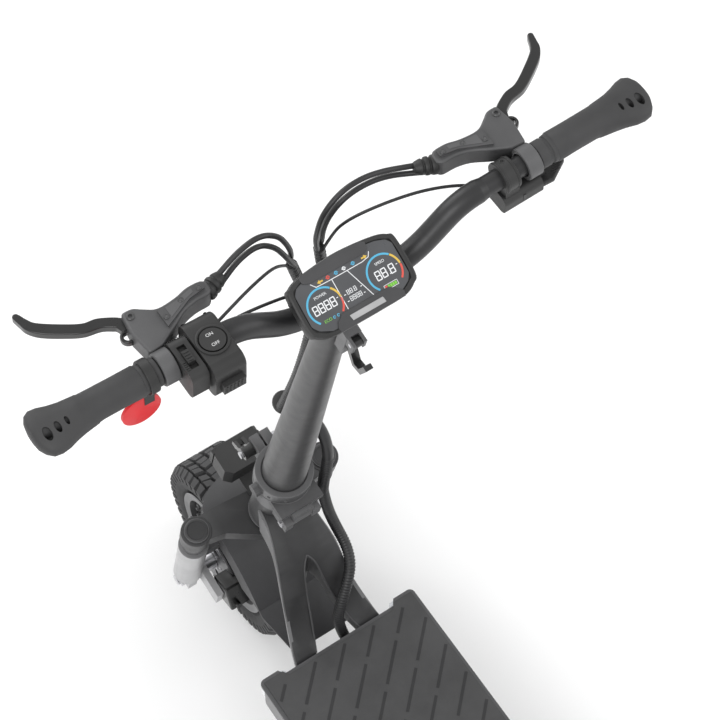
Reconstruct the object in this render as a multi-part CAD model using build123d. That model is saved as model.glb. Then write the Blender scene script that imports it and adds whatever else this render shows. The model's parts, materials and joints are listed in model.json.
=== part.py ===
"""Electric kick scooter, off-road class, standing upright on its two tyres and its side stand.

Frame: +X forward, +Y to the rider's left, +Z up, millimetres. The origin is on the ground, midway
along the scooter. Everything that turns with the handlebar is drawn in a steering frame (u forward,
v left, w up along the steering axis) and set in place by steer(). Controls are drawn along the left
straight end of the handlebar and set in place by on_bar().
"""
import os
from math import cos, pi, radians, sin, tan

from build123d import *

# ---------------------------------------------------------------- driving dimensions
TYRE_R = 145.0                 # 11 inch off-road tyre
TYRE_HALF_W = 48.0
TREAD_HALF_FLAT = 35.0
BEAD_R = 92.0
RIM_R = 101.0

RAKE = 13.0                    # steering axis, degrees back from vertical
STEER_X, STEER_Z = 373.0, 550.0
LEG_U, LEG_V = 27.0, 103.0     # fork legs, in the steering frame
AXLE_W = -(STEER_Z - TYRE_R + LEG_U * sin(radians(RAKE))) / cos(radians(RAKE))
FRONT_X = STEER_X + LEG_U * cos(radians(RAKE)) - AXLE_W * sin(radians(RAKE))
REAR_X = -FRONT_X

DECK_FRONT, DECK_REAR = 245.0, -305.0
DECK_HALF_W = 127.0
TUB_HALF_W = 119.0
TUB_BOTTOM, TUB_TOP = 162.0, 251.0
LID_T, MAT_T, WALL = 5.0, 4.0, 4.0
DECK_TOP = TUB_TOP + LID_T + MAT_T

BAR_X = 209.0                  # handlebar
BAR_MID_Z, BAR_KNEE_Y, BAR_MID_Y = 1222.0, 128.0, 68.0
BAR_KNEE_Z, BAR_END_Y, BAR_END_Z = 1271.0, 345.0, 1282.0
BAR_R, BAR_MID_R, BAR_BORE = 11.1, 12.7, 8.6
KNEE_R, BEND_R = 62.0, 90.0

HINGE_U, HINGE_W, HINGE_R = -47.0, -42.0, 5.0    # folding hinge, in the steering frame
PIVOT_X, PIVOT_Z, PIVOT_R = -322.0, 190.0, 6.0   # swingarm pivot
STAND_X, STAND_Z = 60.0, 150.0                   # side stand pivot

RUN = 0.06                     # radial clearance of a shaft that turns
GAP = 0.4                      # clearance between faces of two bodies

os.makedirs("parts", exist_ok=True)


# ---------------------------------------------------------------- helpers
def box(x0, x1, y0, y1, z0, z1):
    """Block between two corners."""
    return Pos((x0 + x1) / 2, (y0 + y1) / 2, (z0 + z1) / 2) * Box(x1 - x0, y1 - y0, z1 - z0)


def soft_box(x0, x1, y0, y1, z0, z1, r):
    """Block with all its edges rounded."""
    block = box(x0, x1, y0, y1, z0, z1)
    return fillet(block.edges(), r)


def rod(r, a, b):
    """Cylinder of radius r from point a to point b."""
    a, b = Vector(*a), Vector(*b)
    return Solid.make_cylinder(r, (b - a).length, Plane(origin=a, z_dir=b - a))


def cone(r0, r1, a, b):
    """Cone from radius r0 at a to radius r1 at b."""
    a, b = Vector(*a), Vector(*b)
    return Solid.make_cone(r0, r1, (b - a).length, Plane(origin=a, z_dir=b - a))


def pipe(ro, ri, a, b):
    """Tube from point a to point b."""
    return rod(ro, a, b) - rod(ri, a, b)


def prism(points, z0, z1):
    """Polygon in plan, raised from z0 to z1."""
    return Pos(0, 0, z0) * extrude(make_face(Polyline(*points, close=True)), z1 - z0)


def side_prism(points, y0, y1):
    """Polygon in the XZ plane, from y0 to y1."""
    face = make_face(Polyline(*[(x, y0, z) for x, z in points], close=True))
    return extrude(face, y1 - y0, dir=(0, 1, 0))


def solids(*shapes):
    """All solids of the given shapes, as one list."""
    return [solid for shape in shapes for solid in shape.solids()]


def group(*shapes):
    """Several pieces in one node."""
    return Compound(children=solids(*shapes))


def mirrored(shape):
    """The same shape on the other side of the scooter."""
    return mirror(shape, about=Plane.XZ)


def both(shape):
    """A left piece and its mirror image."""
    return group(shape, mirrored(shape))


def steer(shape):
    """From the steering frame to the scooter's frame."""
    return Location((STEER_X, 0, STEER_Z), (0, -RAKE, 0)) * shape


def steer_point(u, v, w):
    """A point of the steering frame, in the scooter's frame."""
    c, s = cos(radians(RAKE)), sin(radians(RAKE))
    return (STEER_X + u * c - w * s, v, STEER_Z + u * s + w * c)


BAR_SLOPE = (BAR_END_Z - BAR_KNEE_Z) / (BAR_END_Y - BAR_KNEE_Y)
BAR_TILT = 2.9                 # degrees, the angle of that slope


def on_bar(shape):
    """From the left bar end's frame (y along the bar, from the scooter's middle) to the scooter's."""
    return Location((BAR_X, 0, BAR_KNEE_Z - BAR_KNEE_Y * BAR_SLOPE), (BAR_TILT, 0, 0)) * shape


def swept(points, r):
    """Round tube along straight runs joined by tangent arcs, each as large as its two runs allow."""
    vecs = [Vector(*p) for p in points]
    radii = []
    for a, b, c in zip(vecs, vecs[1:], vecs[2:]):
        turn = radians((b - a).get_angle(c - b))
        radii.append(0.45 * min((b - a).length, (c - b).length) / tan(turn / 2))
    path = FilletPolyline(*vecs, radius=radii)
    tube = sweep(Plane(origin=vecs[0], z_dir=vecs[1] - vecs[0]) * Circle(r), path=path)
    ratio = tube.volume / (pi * r * r * path.length)
    print(f"  tube r {r} length {path.length:.0f} smallest arc {min(radii):.0f} volume ratio {ratio:.3f}")
    return tube


def save(name, shape):
    """Writes one node."""
    export_step(group(shape), f"parts/{name}.step")
    print(name, len(shape.solids()))


def at_wheel(shape, x):
    """From a wheel's centre to its place."""
    return Pos(x, 0, TYRE_R) * shape


# ---------------------------------------------------------------- wheels, drawn about the Y axis
HUB_BOSS_R, HUB_LEFT, HUB_RIGHT = 28.0, 56.0, -52.0
AXLE_R, SHOULDER_R = 8.0, 14.0
DISC_T, DISC_R = 2.5, 70.0


def turned(points):
    """Solid of revolution about Y from (y, r) points."""
    return revolve(make_face(Polyline(*[(0, y, r) for y, r in points], close=True)), Axis.Y, 360)


def tyre():
    """Hollow tubeless tyre, without its tread blocks."""
    outer = [(37, BEAD_R), (37, RIM_R + 1), (43, RIM_R + 4), (46.5, 112), (TYRE_HALF_W, 122),
             (TYRE_HALF_W, 136), (44, 142), (TREAD_HALF_FLAT, TYRE_R)]
    inner = [(30, BEAD_R), (30, 98), (36, 104), (40.5, 116), (40, 126), (34, TYRE_R - 11)]
    ring = outer + [(-y, r) for y, r in reversed(outer)]
    hollow = inner + [(-y, r) for y, r in reversed(inner)]
    return turned(ring + hollow[::-1])


def hub_motor():
    """Hub motor shell with its rim; the left boss carries the brake disc."""
    side = [(38, 66), (34, 74), (34, 86), (43.5, 90), (43.5, RIM_R), (37.6, RIM_R), (37.4, BEAD_R - 0.2),
            (27, BEAD_R - 0.2), (20, 84)]
    left = [(HUB_LEFT, AXLE_R + RUN), (HUB_LEFT, HUB_BOSS_R), (42, 32)] + side
    right = [(HUB_RIGHT, AXLE_R + RUN), (HUB_RIGHT, 24), (-42, 32)] + [(-y, r) for y, r in side]
    return turned(left + right[::-1])


def brake_disc():
    """Ventilated brake disc against the hub's left boss."""
    y0, y1 = HUB_LEFT, HUB_LEFT + DISC_T
    disc = pipe(DISC_R, 15, (0, y0, 0), (0, y1, 0))
    for k in range(5):
        a = 2 * pi * (k + 0.5) / 5
        disc -= rod(10.5, (40 * cos(a), y0 - 1, 40 * sin(a)), (40 * cos(a), y1 + 1, 40 * sin(a)))
    for k in range(20):
        a, r = 2 * pi * k / 20, (62.0 if k % 2 else 57.5)
        disc -= rod(2.4, (r * cos(a), y0 - 1, r * sin(a)), (r * cos(a), y1 + 1, r * sin(a)))
    return disc


def axle(seat, outside):
    """Axle with shoulders against the dropouts' inner faces, threaded ends and two nuts."""
    shaft = rod(AXLE_R, (0, -outside - 12, 0), (0, outside + 12, 0))
    shaft += rod(SHOULDER_R, (0, HUB_LEFT + DISC_T + 0.7, 0), (0, seat, 0))
    shaft += rod(SHOULDER_R, (0, -seat, 0), (0, HUB_RIGHT - 0.7, 0))
    pieces = [shaft]
    for side in (1, -1):
        hexagon = Plane(origin=(0, side * outside, 0), z_dir=(0, side, 0)) * RegularPolygon(13, 6)
        pieces.append(extrude(hexagon, 8) - shaft)
    return group(*pieces)


def caliper(angle):
    """Brake caliper over the disc's rim, at an angle from +X, with its bleed and hose ports."""
    body = soft_box(50, 86, 49, 81, -24, 24, 3)
    body -= box(40, DISC_R + 1.5, HUB_LEFT - 1, HUB_LEFT + DISC_T + 1, -30, 30)
    body += rod(4, (84, 70, 12), (94, 70, 12))
    return Rot(0, -angle, 0) * body


def mudguard(r, a0, a1, skirt_a0, skirt_r, half_w, tail, nose=((200, 70),)):
    """Curved guard over a tyre: a 3.5 mm shell with side skirts, a shaped nose and a tail off its circle."""
    t = 3.5
    arc_out = CenterArc((0, 0), r + t, a0, a1 - a0)
    arc_in = CenterArc((0, 0), r, a0, a1 - a0)
    tip_out, tip_in = tail, (tail[0] + 0.6, tail[1] - t)
    loop = [arc_out, Line(arc_out @ 1, tip_out), Line(tip_out, tip_in), Line(tip_in, arc_in @ 1), arc_in,
            Line(arc_in @ 0, arc_out @ 0)]
    shell = extrude(Plane.XZ * make_face(loop), half_w, both=True)
    half = [(-230, 40), (-130, 70), *nose]
    shell &= prism(half + [(x, -y) for x, y in half[::-1]], -200, 200)
    s0, s1 = skirt_a0, a1
    edge_out = CenterArc((0, 0), r + 1, s0, s1 - s0)
    edge_in = CenterArc((0, 0), skirt_r, s0 + 8, s1 - s0 - 16)
    plate = make_face([edge_out, Line(edge_out @ 1, edge_in @ 1), edge_in, Line(edge_in @ 0, edge_out @ 0)])
    skirt = Pos(0, half_w, 0) * extrude(Plane.XZ * plate, t)
    return shell + skirt + mirrored(skirt)


FORK_SEAT, FORK_OUT = 96.0, 110.0
ARM_IN, ARM_OUT = 82.0, 94.0


def wheels():
    for name, x in (("front", FRONT_X), ("rear", REAR_X)):
        save(f"{name}_tyre", at_wheel(tyre(), x))
        save(f"{name}_hub_motor", at_wheel(hub_motor(), x))
        save(f"{name}_brake_disc", at_wheel(brake_disc(), x))
    save("front_axle", at_wheel(Rot(0, -RAKE, 0) * axle(FORK_SEAT, FORK_OUT), FRONT_X))
    save("rear_axle", at_wheel(axle(ARM_IN, ARM_OUT), REAR_X))


# ---------------------------------------------------------------- fork
HEAD_LOW, HEAD_TOP, HEAD_R = -165.0, -62.0, 31.0
CUP_R, FLANGE_T = 25.0, 5.0
STEERER_R = 14.0
CROWN_TOP, CROWN_LOW = -176.0, -206.0
STANCHION_R, LOWER_R, RING_R = 16.0, 21.0, 21.5
LOWER_TOP, LOWER_END = -246.0, -400.0


def fork():
    """Crown with its steerer, stanchions, caps, sliding lowers, caliper and mudguard."""
    outline = [(40, -16), (40, 16), (44, 70), (44, LEG_V), (10, LEG_V), (4, 70), (-26, 24), (-26, -24),
               (4, -70), (10, -LEG_V), (44, -LEG_V), (44, -70)]
    crown = prism(outline, CROWN_LOW, CROWN_TOP)
    crown += rod(24, (0, 0, CROWN_TOP - 1), (0, 0, HEAD_LOW - FLANGE_T - 0.5))
    crown += rod(STEERER_R, (0, 0, CROWN_TOP - 1), (0, 0, -20))
    stanchions, caps, lowers = [], [], []
    for v in (LEG_V, -LEG_V):
        crown += rod(RING_R, (LEG_U, v, CROWN_LOW), (LEG_U, v, CROWN_TOP))
        crown -= rod(STANCHION_R, (LEG_U, v, CROWN_LOW - 1), (LEG_U, v, CROWN_TOP + 1))
        stanchions.append(pipe(STANCHION_R, 12.5, (LEG_U, v, -345), (LEG_U, v, CROWN_TOP)))
        caps.append(rod(17, (LEG_U, v, CROWN_TOP), (LEG_U, v, CROWN_TOP + 5)) +
                    rod(12.5, (LEG_U, v, CROWN_TOP - 12), (LEG_U, v, CROWN_TOP)))
        inner, outer = (FORK_SEAT, FORK_OUT) if v > 0 else (-FORK_OUT, -FORK_SEAT)
        lower = rod(LOWER_R, (LEG_U, v, LOWER_END), (LEG_U, v, LOWER_TOP))
        lower += box(LEG_U - 17, LEG_U + 17, inner, outer, AXLE_W - 20, LOWER_END + 4)
        lower -= rod(STANCHION_R + RUN, (LEG_U, v, -388), (LEG_U, v, LOWER_TOP + 1))
        lower -= rod(AXLE_R, (LEG_U, inner - 1, AXLE_W), (LEG_U, outer + 1, AXLE_W))
        lowers.append(lower)
    caliper_mount = box(-34, 14, 82, 92, -412, -372)
    lowers[0] += caliper_mount - rod(LOWER_R - 1, (LEG_U, LEG_V, -420), (LEG_U, LEG_V, -360))
    save("fork_crown", steer(crown))
    save("fork_stanchions", steer(group(*stanchions, *caps)))
    save("fork_lowers", steer(group(*lowers)))

    brake = caliper(162) - box(-200, 200, 81.5, 90, -200, 200)
    save("front_caliper", at_wheel(brake, FRONT_X))
    nose = [(-8, 70), (6, 61), (18, 50), (27, 37), (33, 20), (35, 8)]
    guard = at_wheel(mudguard(160, 76, 150, 93, 120, 64, (-205, 38), nose), FRONT_X)
    for v in (LEG_V, -LEG_V):
        y0, y1 = (62, 86) if v > 0 else (-86, -62)
        stay = box(LEG_U - 11, LEG_U + 11, y0, y1, -312, -286)
        guard += steer(stay - rod(LOWER_R, (LEG_U, v, -400), (LEG_U, v, -250)))
    save("front_mudguard", guard)


def headlight():
    """Headlight on a shelf of the fork crown."""
    housing = box(60, 104, -35, 35, -174, -128)
    housing = chamfer(housing.edges().filter_by(Axis.Z), 9)
    housing += box(26, 62, -14, 14, CROWN_TOP, CROWN_TOP + 4)
    housing -= box(98, 110, -27, 27, -168, -136)
    lens = box(98, 105.5, -27, 27, -168, -136)
    save("headlight_housing", steer(housing))
    save("headlight_lens", steer(lens))


# ---------------------------------------------------------------- folding joint
BASE_R, BASE_LOW, BASE_TOP = 34.0, -56.5, -16.0
COLLAR_R, COLLAR_TOP = 38.0, 24.0
FOOT_R = 29.0
BOLT_U, BOLT_R = 50.0, 3.0
KNOB_W = -38.0


def folding_joint():
    """Base on the steerer, hinge pin, collar of the stem, quick-release lever and pull knob."""
    base = rod(BASE_R, (0, 0, BASE_LOW), (0, 0, BASE_TOP)) - rod(STEERER_R, (0, 0, -60), (0, 0, -20))
    for y0, y1 in ((15, 27), (-27, -15)):
        base += box(-57, -26, y0, y1, -55, -31) - rod(STEERER_R, (0, 0, -60), (0, 0, -20))
    base += box(28, 40, -11, 11, -50, -24)
    base -= rod(HINGE_R, (HINGE_U, -40, HINGE_W), (HINGE_U, 40, HINGE_W))
    base -= rod(5 + RUN, (24, 0, KNOB_W), (45, 0, KNOB_W))
    pin = rod(HINGE_R, (HINGE_U, -30, HINGE_W), (HINGE_U, 30, HINGE_W))
    knob = rod(5, (26, 0, KNOB_W), (42, 0, KNOB_W)) + rod(9, (40.5, 0, KNOB_W), (54, 0, KNOB_W))
    save("fold_base", steer(base))
    save("fold_pin", steer(pin))
    save("latch_knob", steer(knob))

    low = BASE_TOP + GAP
    collar = rod(COLLAR_R, (0, 0, low), (0, 0, COLLAR_TOP))
    collar += box(-49, -12, -32, 32, low, low + 12)
    collar += box(20, 62, -14, 14, low + 1, 14)
    collar += rod(9, (0, 30, 4), (0, 46, 4))
    collar += box(HINGE_U - 8, HINGE_U + 8, -14.6, 14.6, HINGE_W, low + 4)
    collar += rod(9, (HINGE_U, -14.6, HINGE_W), (HINGE_U, 14.6, HINGE_W))
    collar -= rod(FOOT_R, (0, 0, -10), (0, 0, COLLAR_TOP + 1))
    collar -= box(FOOT_R - 4, 70, -1.5, 1.5, low - 1, COLLAR_TOP + 1)
    collar -= rod(HINGE_R + RUN, (HINGE_U, -40, HINGE_W), (HINGE_U, 40, HINGE_W))
    collar -= rod(BOLT_R, (BOLT_U, -40, 0), (BOLT_U, 40, 0))
    save("fold_collar", steer(collar))

    lever = rod(9, (BOLT_U, 14.4, 0), (BOLT_U, 30, 0))
    for y0, y1 in ((14.4, 19), (25.5, 30)):
        cheek = [(BOLT_U - 4, 8), (BOLT_U + 22, -8), (BOLT_U + 22, -18), (BOLT_U - 4, -8)]
        lever += side_prism(cheek, y0, y1)
    lever += box(BOLT_U + 14, BOLT_U + 23, 14.4, 30, -18, -8)
    lever -= box(BOLT_U + 6, BOLT_U + 14, 19, 25.5, -30, 30)
    lever -= rod(BOLT_R + RUN, (BOLT_U, -40, 0), (BOLT_U, 40, 0))
    save("clamp_lever", steer(lever))


# ---------------------------------------------------------------- stem, bar clamp and folding hook
BAR_U = (BAR_X - STEER_X) * cos(radians(RAKE)) + (BAR_MID_Z - STEER_Z) * sin(radians(RAKE))
BAR_W = -(BAR_X - STEER_X) * sin(radians(RAKE)) + (BAR_MID_Z - STEER_Z) * cos(radians(RAKE))
TUBE_TOP = BAR_W - 32
TUBE_TOP_R = 17.5
HOOK_U, HOOK_W = -37.0, 606.0
SCREEN_X, SCREEN_Y, SCREEN_Z, SCREEN_TILT = 191.0, 11.0, 1266.0, 28.0


def stem_tube():
    """Tapered aluminium stem tube."""
    outer = [(FOOT_R, -10), (FOOT_R, 60), (19, 515), (TUBE_TOP_R, 600), (TUBE_TOP_R, TUBE_TOP)]
    inner = [(r - 3, w) for r, w in reversed(outer)]
    return revolve(make_face(Polyline(*[(r, 0, w) for r, w in outer + inner], close=True)), Axis.Z, 360)


def stem():
    """Stem tube, bar clamp with its cap, bolts, and the hook that holds the folded stem."""
    tube = stem_tube()
    save("stem_tube", steer(tube))
    seat = rod(BAR_MID_R, (BAR_U, -60, BAR_W), (BAR_U, 60, BAR_W))
    bolts = []
    for u in (BAR_U - 19, BAR_U + 19):
        for v in (-16, 16):
            bolts.append(rod(2.5, (u, v, BAR_W - 18), (u, v, BAR_W + 17)) +
                         rod(4.5, (u, v, BAR_W + 17), (u, v, BAR_W + 21)))
    clamp = rod(24, (0, 0, TUBE_TOP - 26), (0, 0, TUBE_TOP + 6))
    clamp -= rod(TUBE_TOP_R, (0, 0, 0), (0, 0, TUBE_TOP))
    clamp += box(BAR_U - 25, BAR_U + 25, -24, 24, TUBE_TOP + 2, BAR_W - 0.5)
    cap = box(BAR_U - 25, BAR_U + 25, -24, 24, BAR_W + 0.5, BAR_W + 17)
    clamp, cap = clamp - seat, cap - seat
    for bolt in bolts:
        clamp, cap = clamp - bolt, cap - bolt
    save("stem_clamp", steer(group(clamp, cap)))

    wall = rod(60, (0, 0, 540), (0, 0, 625)) & tube
    bracket = box(-31, -14, -9, 9, 566, 614) - rod(19.5, (0, 0, 500), (0, 0, 640)) - wall
    for y0, y1 in ((5, 8.5), (-8.5, -5)):
        bracket += box(-43, -30, y0, y1, 597, 614)
    hook = rod(6, (HOOK_U, -4.6, HOOK_W), (HOOK_U, 4.6, HOOK_W))
    hook += side_prism([(-33, 604), (-31, 580), (-46, 561), (-60, 566), (-66, 590), (-60, 591), (-55, 572),
                        (-47, 569), (-38, 583), (-41, 604)], -4.6, 4.6)
    hook -= rod(2.5 + RUN, (HOOK_U, -20, HOOK_W), (HOOK_U, 20, HOOK_W))
    bracket -= rod(2.5, (HOOK_U, -20, HOOK_W), (HOOK_U, 20, HOOK_W))
    save("hook_bracket", steer(bracket))
    save("stem_hook", steer(hook))

    hook_pin = rod(2.5, (HOOK_U, -8.5, HOOK_W), (HOOK_U, 8.5, HOOK_W))
    clamp_bolt = rod(BOLT_R, (BOLT_U, -14, 0), (BOLT_U, 31, 0)) + rod(6.5, (BOLT_U, -21, 0), (BOLT_U, -14, 0))
    clamp_bolt += rod(5, (BOLT_U, 30.3, 0), (BOLT_U, 34, 0))
    levers = [on_bar(rod(LEVER_PIN_R, (LEVER_X, LEVER_Y, -11), (LEVER_X, LEVER_Y, 13)))]
    levers.append(mirrored(levers[0]))
    save("cockpit_bolts", group(*[steer(b) for b in bolts], steer(hook_pin), steer(clamp_bolt), *levers))


def handlebar():
    """Riser handlebar: 25.4 mm in the middle, 22.2 mm at the controls, hollow."""
    y0, taper = BAR_KNEE_Y + 22, 8
    z0 = BAR_KNEE_Z + 22 * BAR_SLOPE
    half = [(BAR_MID_Y, BAR_MID_Z), (BAR_KNEE_Y, BAR_KNEE_Z), (y0, z0)]
    route = [Vector(BAR_X, -y, z) for y, z in reversed(half)] + [Vector(BAR_X, y, z) for y, z in half]
    core = FilletPolyline(*route, radius=[KNEE_R, BEND_R, BEND_R, KNEE_R])
    start = Plane(origin=route[0], z_dir=route[1] - route[0])
    middle = sweep(start * Circle(BAR_MID_R), path=core) - sweep(start * Circle(BAR_BORE), path=core)
    end = cone(BAR_MID_R, BAR_R, (BAR_X, y0, z0), (BAR_X, y0 + taper, z0 + taper * BAR_SLOPE))
    end += rod(BAR_R, (BAR_X, y0 + taper, z0 + taper * BAR_SLOPE), (BAR_X, BAR_END_Y, BAR_END_Z))
    end -= rod(BAR_BORE, (BAR_X, y0, z0), (BAR_X, BAR_END_Y, BAR_END_Z))
    return middle + end + mirrored(end)


# ---------------------------------------------------------------- controls, on the left bar end
LEVER_X, LEVER_Y, LEVER_PIN_R = 58.0, 214.0, 2.5
LEVER_HALF = 5.0
BRAKE_TOP, BRAKE_LOW = 13.0, -11.0
HANDLEBAR = handlebar()
BAR_CORE = rod(BAR_BORE + 1, (0, 100, 0), (0, BAR_END_Y, 0))


def grips():
    """Rubber grips with a round collar and a wide palm rest at the end."""
    grip = rod(15, (0, 220, 0), (0, 240, 0)) + rod(16.5, (0, 240, 0), (0, 338, 0))
    rest = prism([(-17, 272), (-19, 292), (-29, 328), (-29, 342), (-20, 352), (8, 356), (24, 350), (26, 342),
                  (19, 318), (17, 300), (17, 272)], -12, 12)
    grip += fillet(rest.edges(), 5)
    return both(on_bar(grip - BAR_CORE) - HANDLEBAR)


def brake_bodies():
    """Master cylinders with their bar clamps, slotted for the levers."""
    outline = [(15.5, 203.5), (39, 161), (42, 134), (57, 134), (59, 151), (54, 167), (52, 187), (66, 208),
               (66, 221), (40, 223), (14, 219)]
    body = chamfer(prism(outline, BRAKE_LOW, BRAKE_TOP).edges().group_by(Axis.Z)[-1], 2)
    body += rod(17, (0, 203.5, 0), (0, 219, 0))
    body -= box(32, 80, 202, 240, -LEVER_HALF - GAP, LEVER_HALF + GAP)
    body -= rod(LEVER_PIN_R, (LEVER_X, LEVER_Y, -20), (LEVER_X, LEVER_Y, 20))
    return both(on_bar(body - BAR_CORE) - HANDLEBAR)


def brake_lid():
    """Reservoir lid with three screw heads."""
    outline = [(44, 157), (47, 138), (54, 138), (55, 151), (50, 167), (49, 190), (28, 190)]
    lid = prism(outline, BRAKE_TOP, BRAKE_TOP + 3)
    for x, y in ((50, 143), (47, 165), (38, 186)):
        lid += rod(2.6, (x, y, BRAKE_TOP + 1), (x, y, BRAKE_TOP + 4.2))
    return lid


def brake_lever():
    """Lever blade that curls forward at its tip; the root plate has a round eye."""
    front = Spline((65, 220), (77, 233), (81, 254), (93, 273), (108, 293), (122, 299))
    back = Spline((121, 307), (104, 302), (92, 293), (79, 274), (70, 258), (66, 240), (56, 230))
    face = make_face([front, Line(front @ 1, back @ 0), back, Line(back @ 1, front @ 0)])
    blade = Pos(0, 0, -LEVER_HALF) * extrude(face, 2 * LEVER_HALF)
    root = [(50, 206), (66, 208), (66, 224), (56, 236), (40, 232), (38, 220)]
    blade += prism(root, -LEVER_HALF, LEVER_HALF)
    blade -= rod(3.6, (46, 224, -9), (46, 224, 9))
    return blade - rod(LEVER_PIN_R + RUN, (LEVER_X, LEVER_Y, -20), (LEVER_X, LEVER_Y, 20))


ROCKER_X, ROCKER_Y, POD_TOP = -10.0, 164.5, 21.0
HORN_Z = -6.0


def left_pods():
    """Light switch pod, power switch pod, their moving keys."""
    light = fillet(box(-36, 14, 184, 202.5, -20, 19).edges().filter_by(Axis.Y), 9) - BAR_CORE
    slot = box(-26, 2, 189, 197.5, 15, 20)
    slider = box(-20, -6, 189 + GAP, 197.5 - GAP, 15 + GAP, 22)
    save("light_pod", on_bar(light - slot) - HANDLEBAR)
    save("light_slider", on_bar(slider))

    switch = fillet(box(-44, 24, 147, 182, -26, POD_TOP).edges().filter_by(Axis.Y), 12)
    switch = fillet(switch.edges().group_by(Axis.Y)[0], 3) - BAR_CORE
    switch -= rod(13.5, (ROCKER_X, ROCKER_Y, 14), (ROCKER_X, ROCKER_Y, 30))
    switch -= box(-50, -34, 152, 177, HORN_Z - 7, HORN_Z + 7)
    rocker = rod(13.5 - GAP - 0.3, (ROCKER_X, ROCKER_Y, 16.2), (ROCKER_X, ROCKER_Y, POD_TOP + 1.6))
    rocker &= box(-40, 20, 140, 190, 16.2, POD_TOP + 1.6) - side_prism(
        [(ROCKER_X - 14, 17.6), (ROCKER_X - 14, 16), (ROCKER_X - 1, 16)], 140, 190) - side_prism(
        [(ROCKER_X + 14, 17.6), (ROCKER_X + 14, 16), (ROCKER_X + 1, 16)], 140, 190)
    horn = box(-50, -38, 152 + GAP, 177 - GAP, HORN_Z - 7 + GAP, HORN_Z + 7 - GAP)
    save("switch_pod", on_bar(switch) - HANDLEBAR)
    save("power_rocker", on_bar(rocker))
    save("horn_button", on_bar(horn))


THUMB_X, THUMB_Z, THUMB_R = 2.0, -30.0, 3.0


def throttle():
    """Thumb throttle under the right end of the bar."""
    housing = fillet(box(-18, 20, 172, 219, -43, -18).edges().filter_by(Axis.Y), 9)
    housing += box(-14, 14, 175, 192, -20, 0) + rod(17, (0, 175, 0), (0, 192, 0))
    housing += rod(THUMB_R, (THUMB_X, 218, THUMB_Z), (THUMB_X, 229, THUMB_Z))
    housing -= BAR_CORE
    lever = rod(9, (THUMB_X, 219.5, THUMB_Z), (THUMB_X, 229, THUMB_Z))
    paddle = prism([(-15, 220), (-16, 234), (-3, 256), (9, 257), (11, 246), (4, 231), (4, 220)], -38, -30.5)
    lever += fillet(paddle.edges(), 2.5)
    lever -= rod(THUMB_R + RUN, (THUMB_X, 210, THUMB_Z), (THUMB_X, 260, THUMB_Z))
    save("throttle_housing", mirrored(on_bar(housing) - HANDLEBAR))
    save("throttle_lever", mirrored(on_bar(lever)))


def on_screen(shape):
    """From the display's frame (its face is z = 0) to the scooter's."""
    return Location((SCREEN_X, SCREEN_Y, SCREEN_Z), (0, -SCREEN_TILT, 0)) * shape


def display():
    """Display housing, its window, and the two bracket arms that hold it to the bar."""
    half = [(36.0, 0), (34.5, 25), (31.5, 46), (27, 58), (20, 63), (-20, 63.5), (-28, 58), (-35.5, 44)]
    outline = half + [(x, -y) for x, y in reversed(half[1:])]
    inset = [(x * 0.84, y * 0.89) for x, y in outline]
    housing = fillet(prism(outline, -16, 0).edges().filter_by(Axis.Z), 5)
    window = fillet(prism(inset, -2, -0.3).edges().filter_by(Axis.Z), 4)
    housing -= fillet(prism(inset, -2, 1).edges().filter_by(Axis.Z), 4)
    save("display_housing", on_screen(housing))
    save("display_screen", on_screen(window))
    core = rod(BAR_BORE + 1, (BAR_X, -80, BAR_MID_Z), (BAR_X, 80, BAR_MID_Z))
    arms = []
    for y0, y1 in ((28, 38), (-38, -28)):
        arm = rod(17, (BAR_X, y0, BAR_MID_Z), (BAR_X, y1, BAR_MID_Z))
        arm += on_screen(box(-19, 6, y0 - SCREEN_Y, y1 - SCREEN_Y, -46, -16))
        arms.append(arm - core - HANDLEBAR)
    save("display_bracket", group(*arms))


def badge():
    """Plain round reflector on a band around the left grip's collar."""
    band = pipe(18, 15, (0, 226, 0), (0, 236, 0)) + box(-4, 2, 227, 235, -26, -15)
    disc = rod(21.5, (-8, 243, -42), (-3, 243, -42))
    band += box(-3, 1, 227, 242, -34, -16) - rod(16.5, (0, 200, 0), (0, 250, 0))
    band -= rod(15, (0, 200, 0), (0, 240, 0))
    save("bar_reflector", on_bar(group(band - disc, disc)))


def controls():
    save("handlebar", HANDLEBAR)
    save("grips", grips())
    save("brake_bodies", brake_bodies())
    save("brake_lids", both(on_bar(brake_lid())))
    save("brake_lever_left", on_bar(brake_lever()))
    save("brake_lever_right", mirrored(on_bar(brake_lever())))
    left_pods()
    throttle()
    display()
    badge()


# ---------------------------------------------------------------- cables
SLEEVE_R, HOSE_R, WIRE_R, CONDUIT_R = 7.0, 3.0, 1.7, 8.0
CONDUIT_GATE, CONDUIT_END = (254, -17, 216), (230, -20.3, 201)


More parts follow.
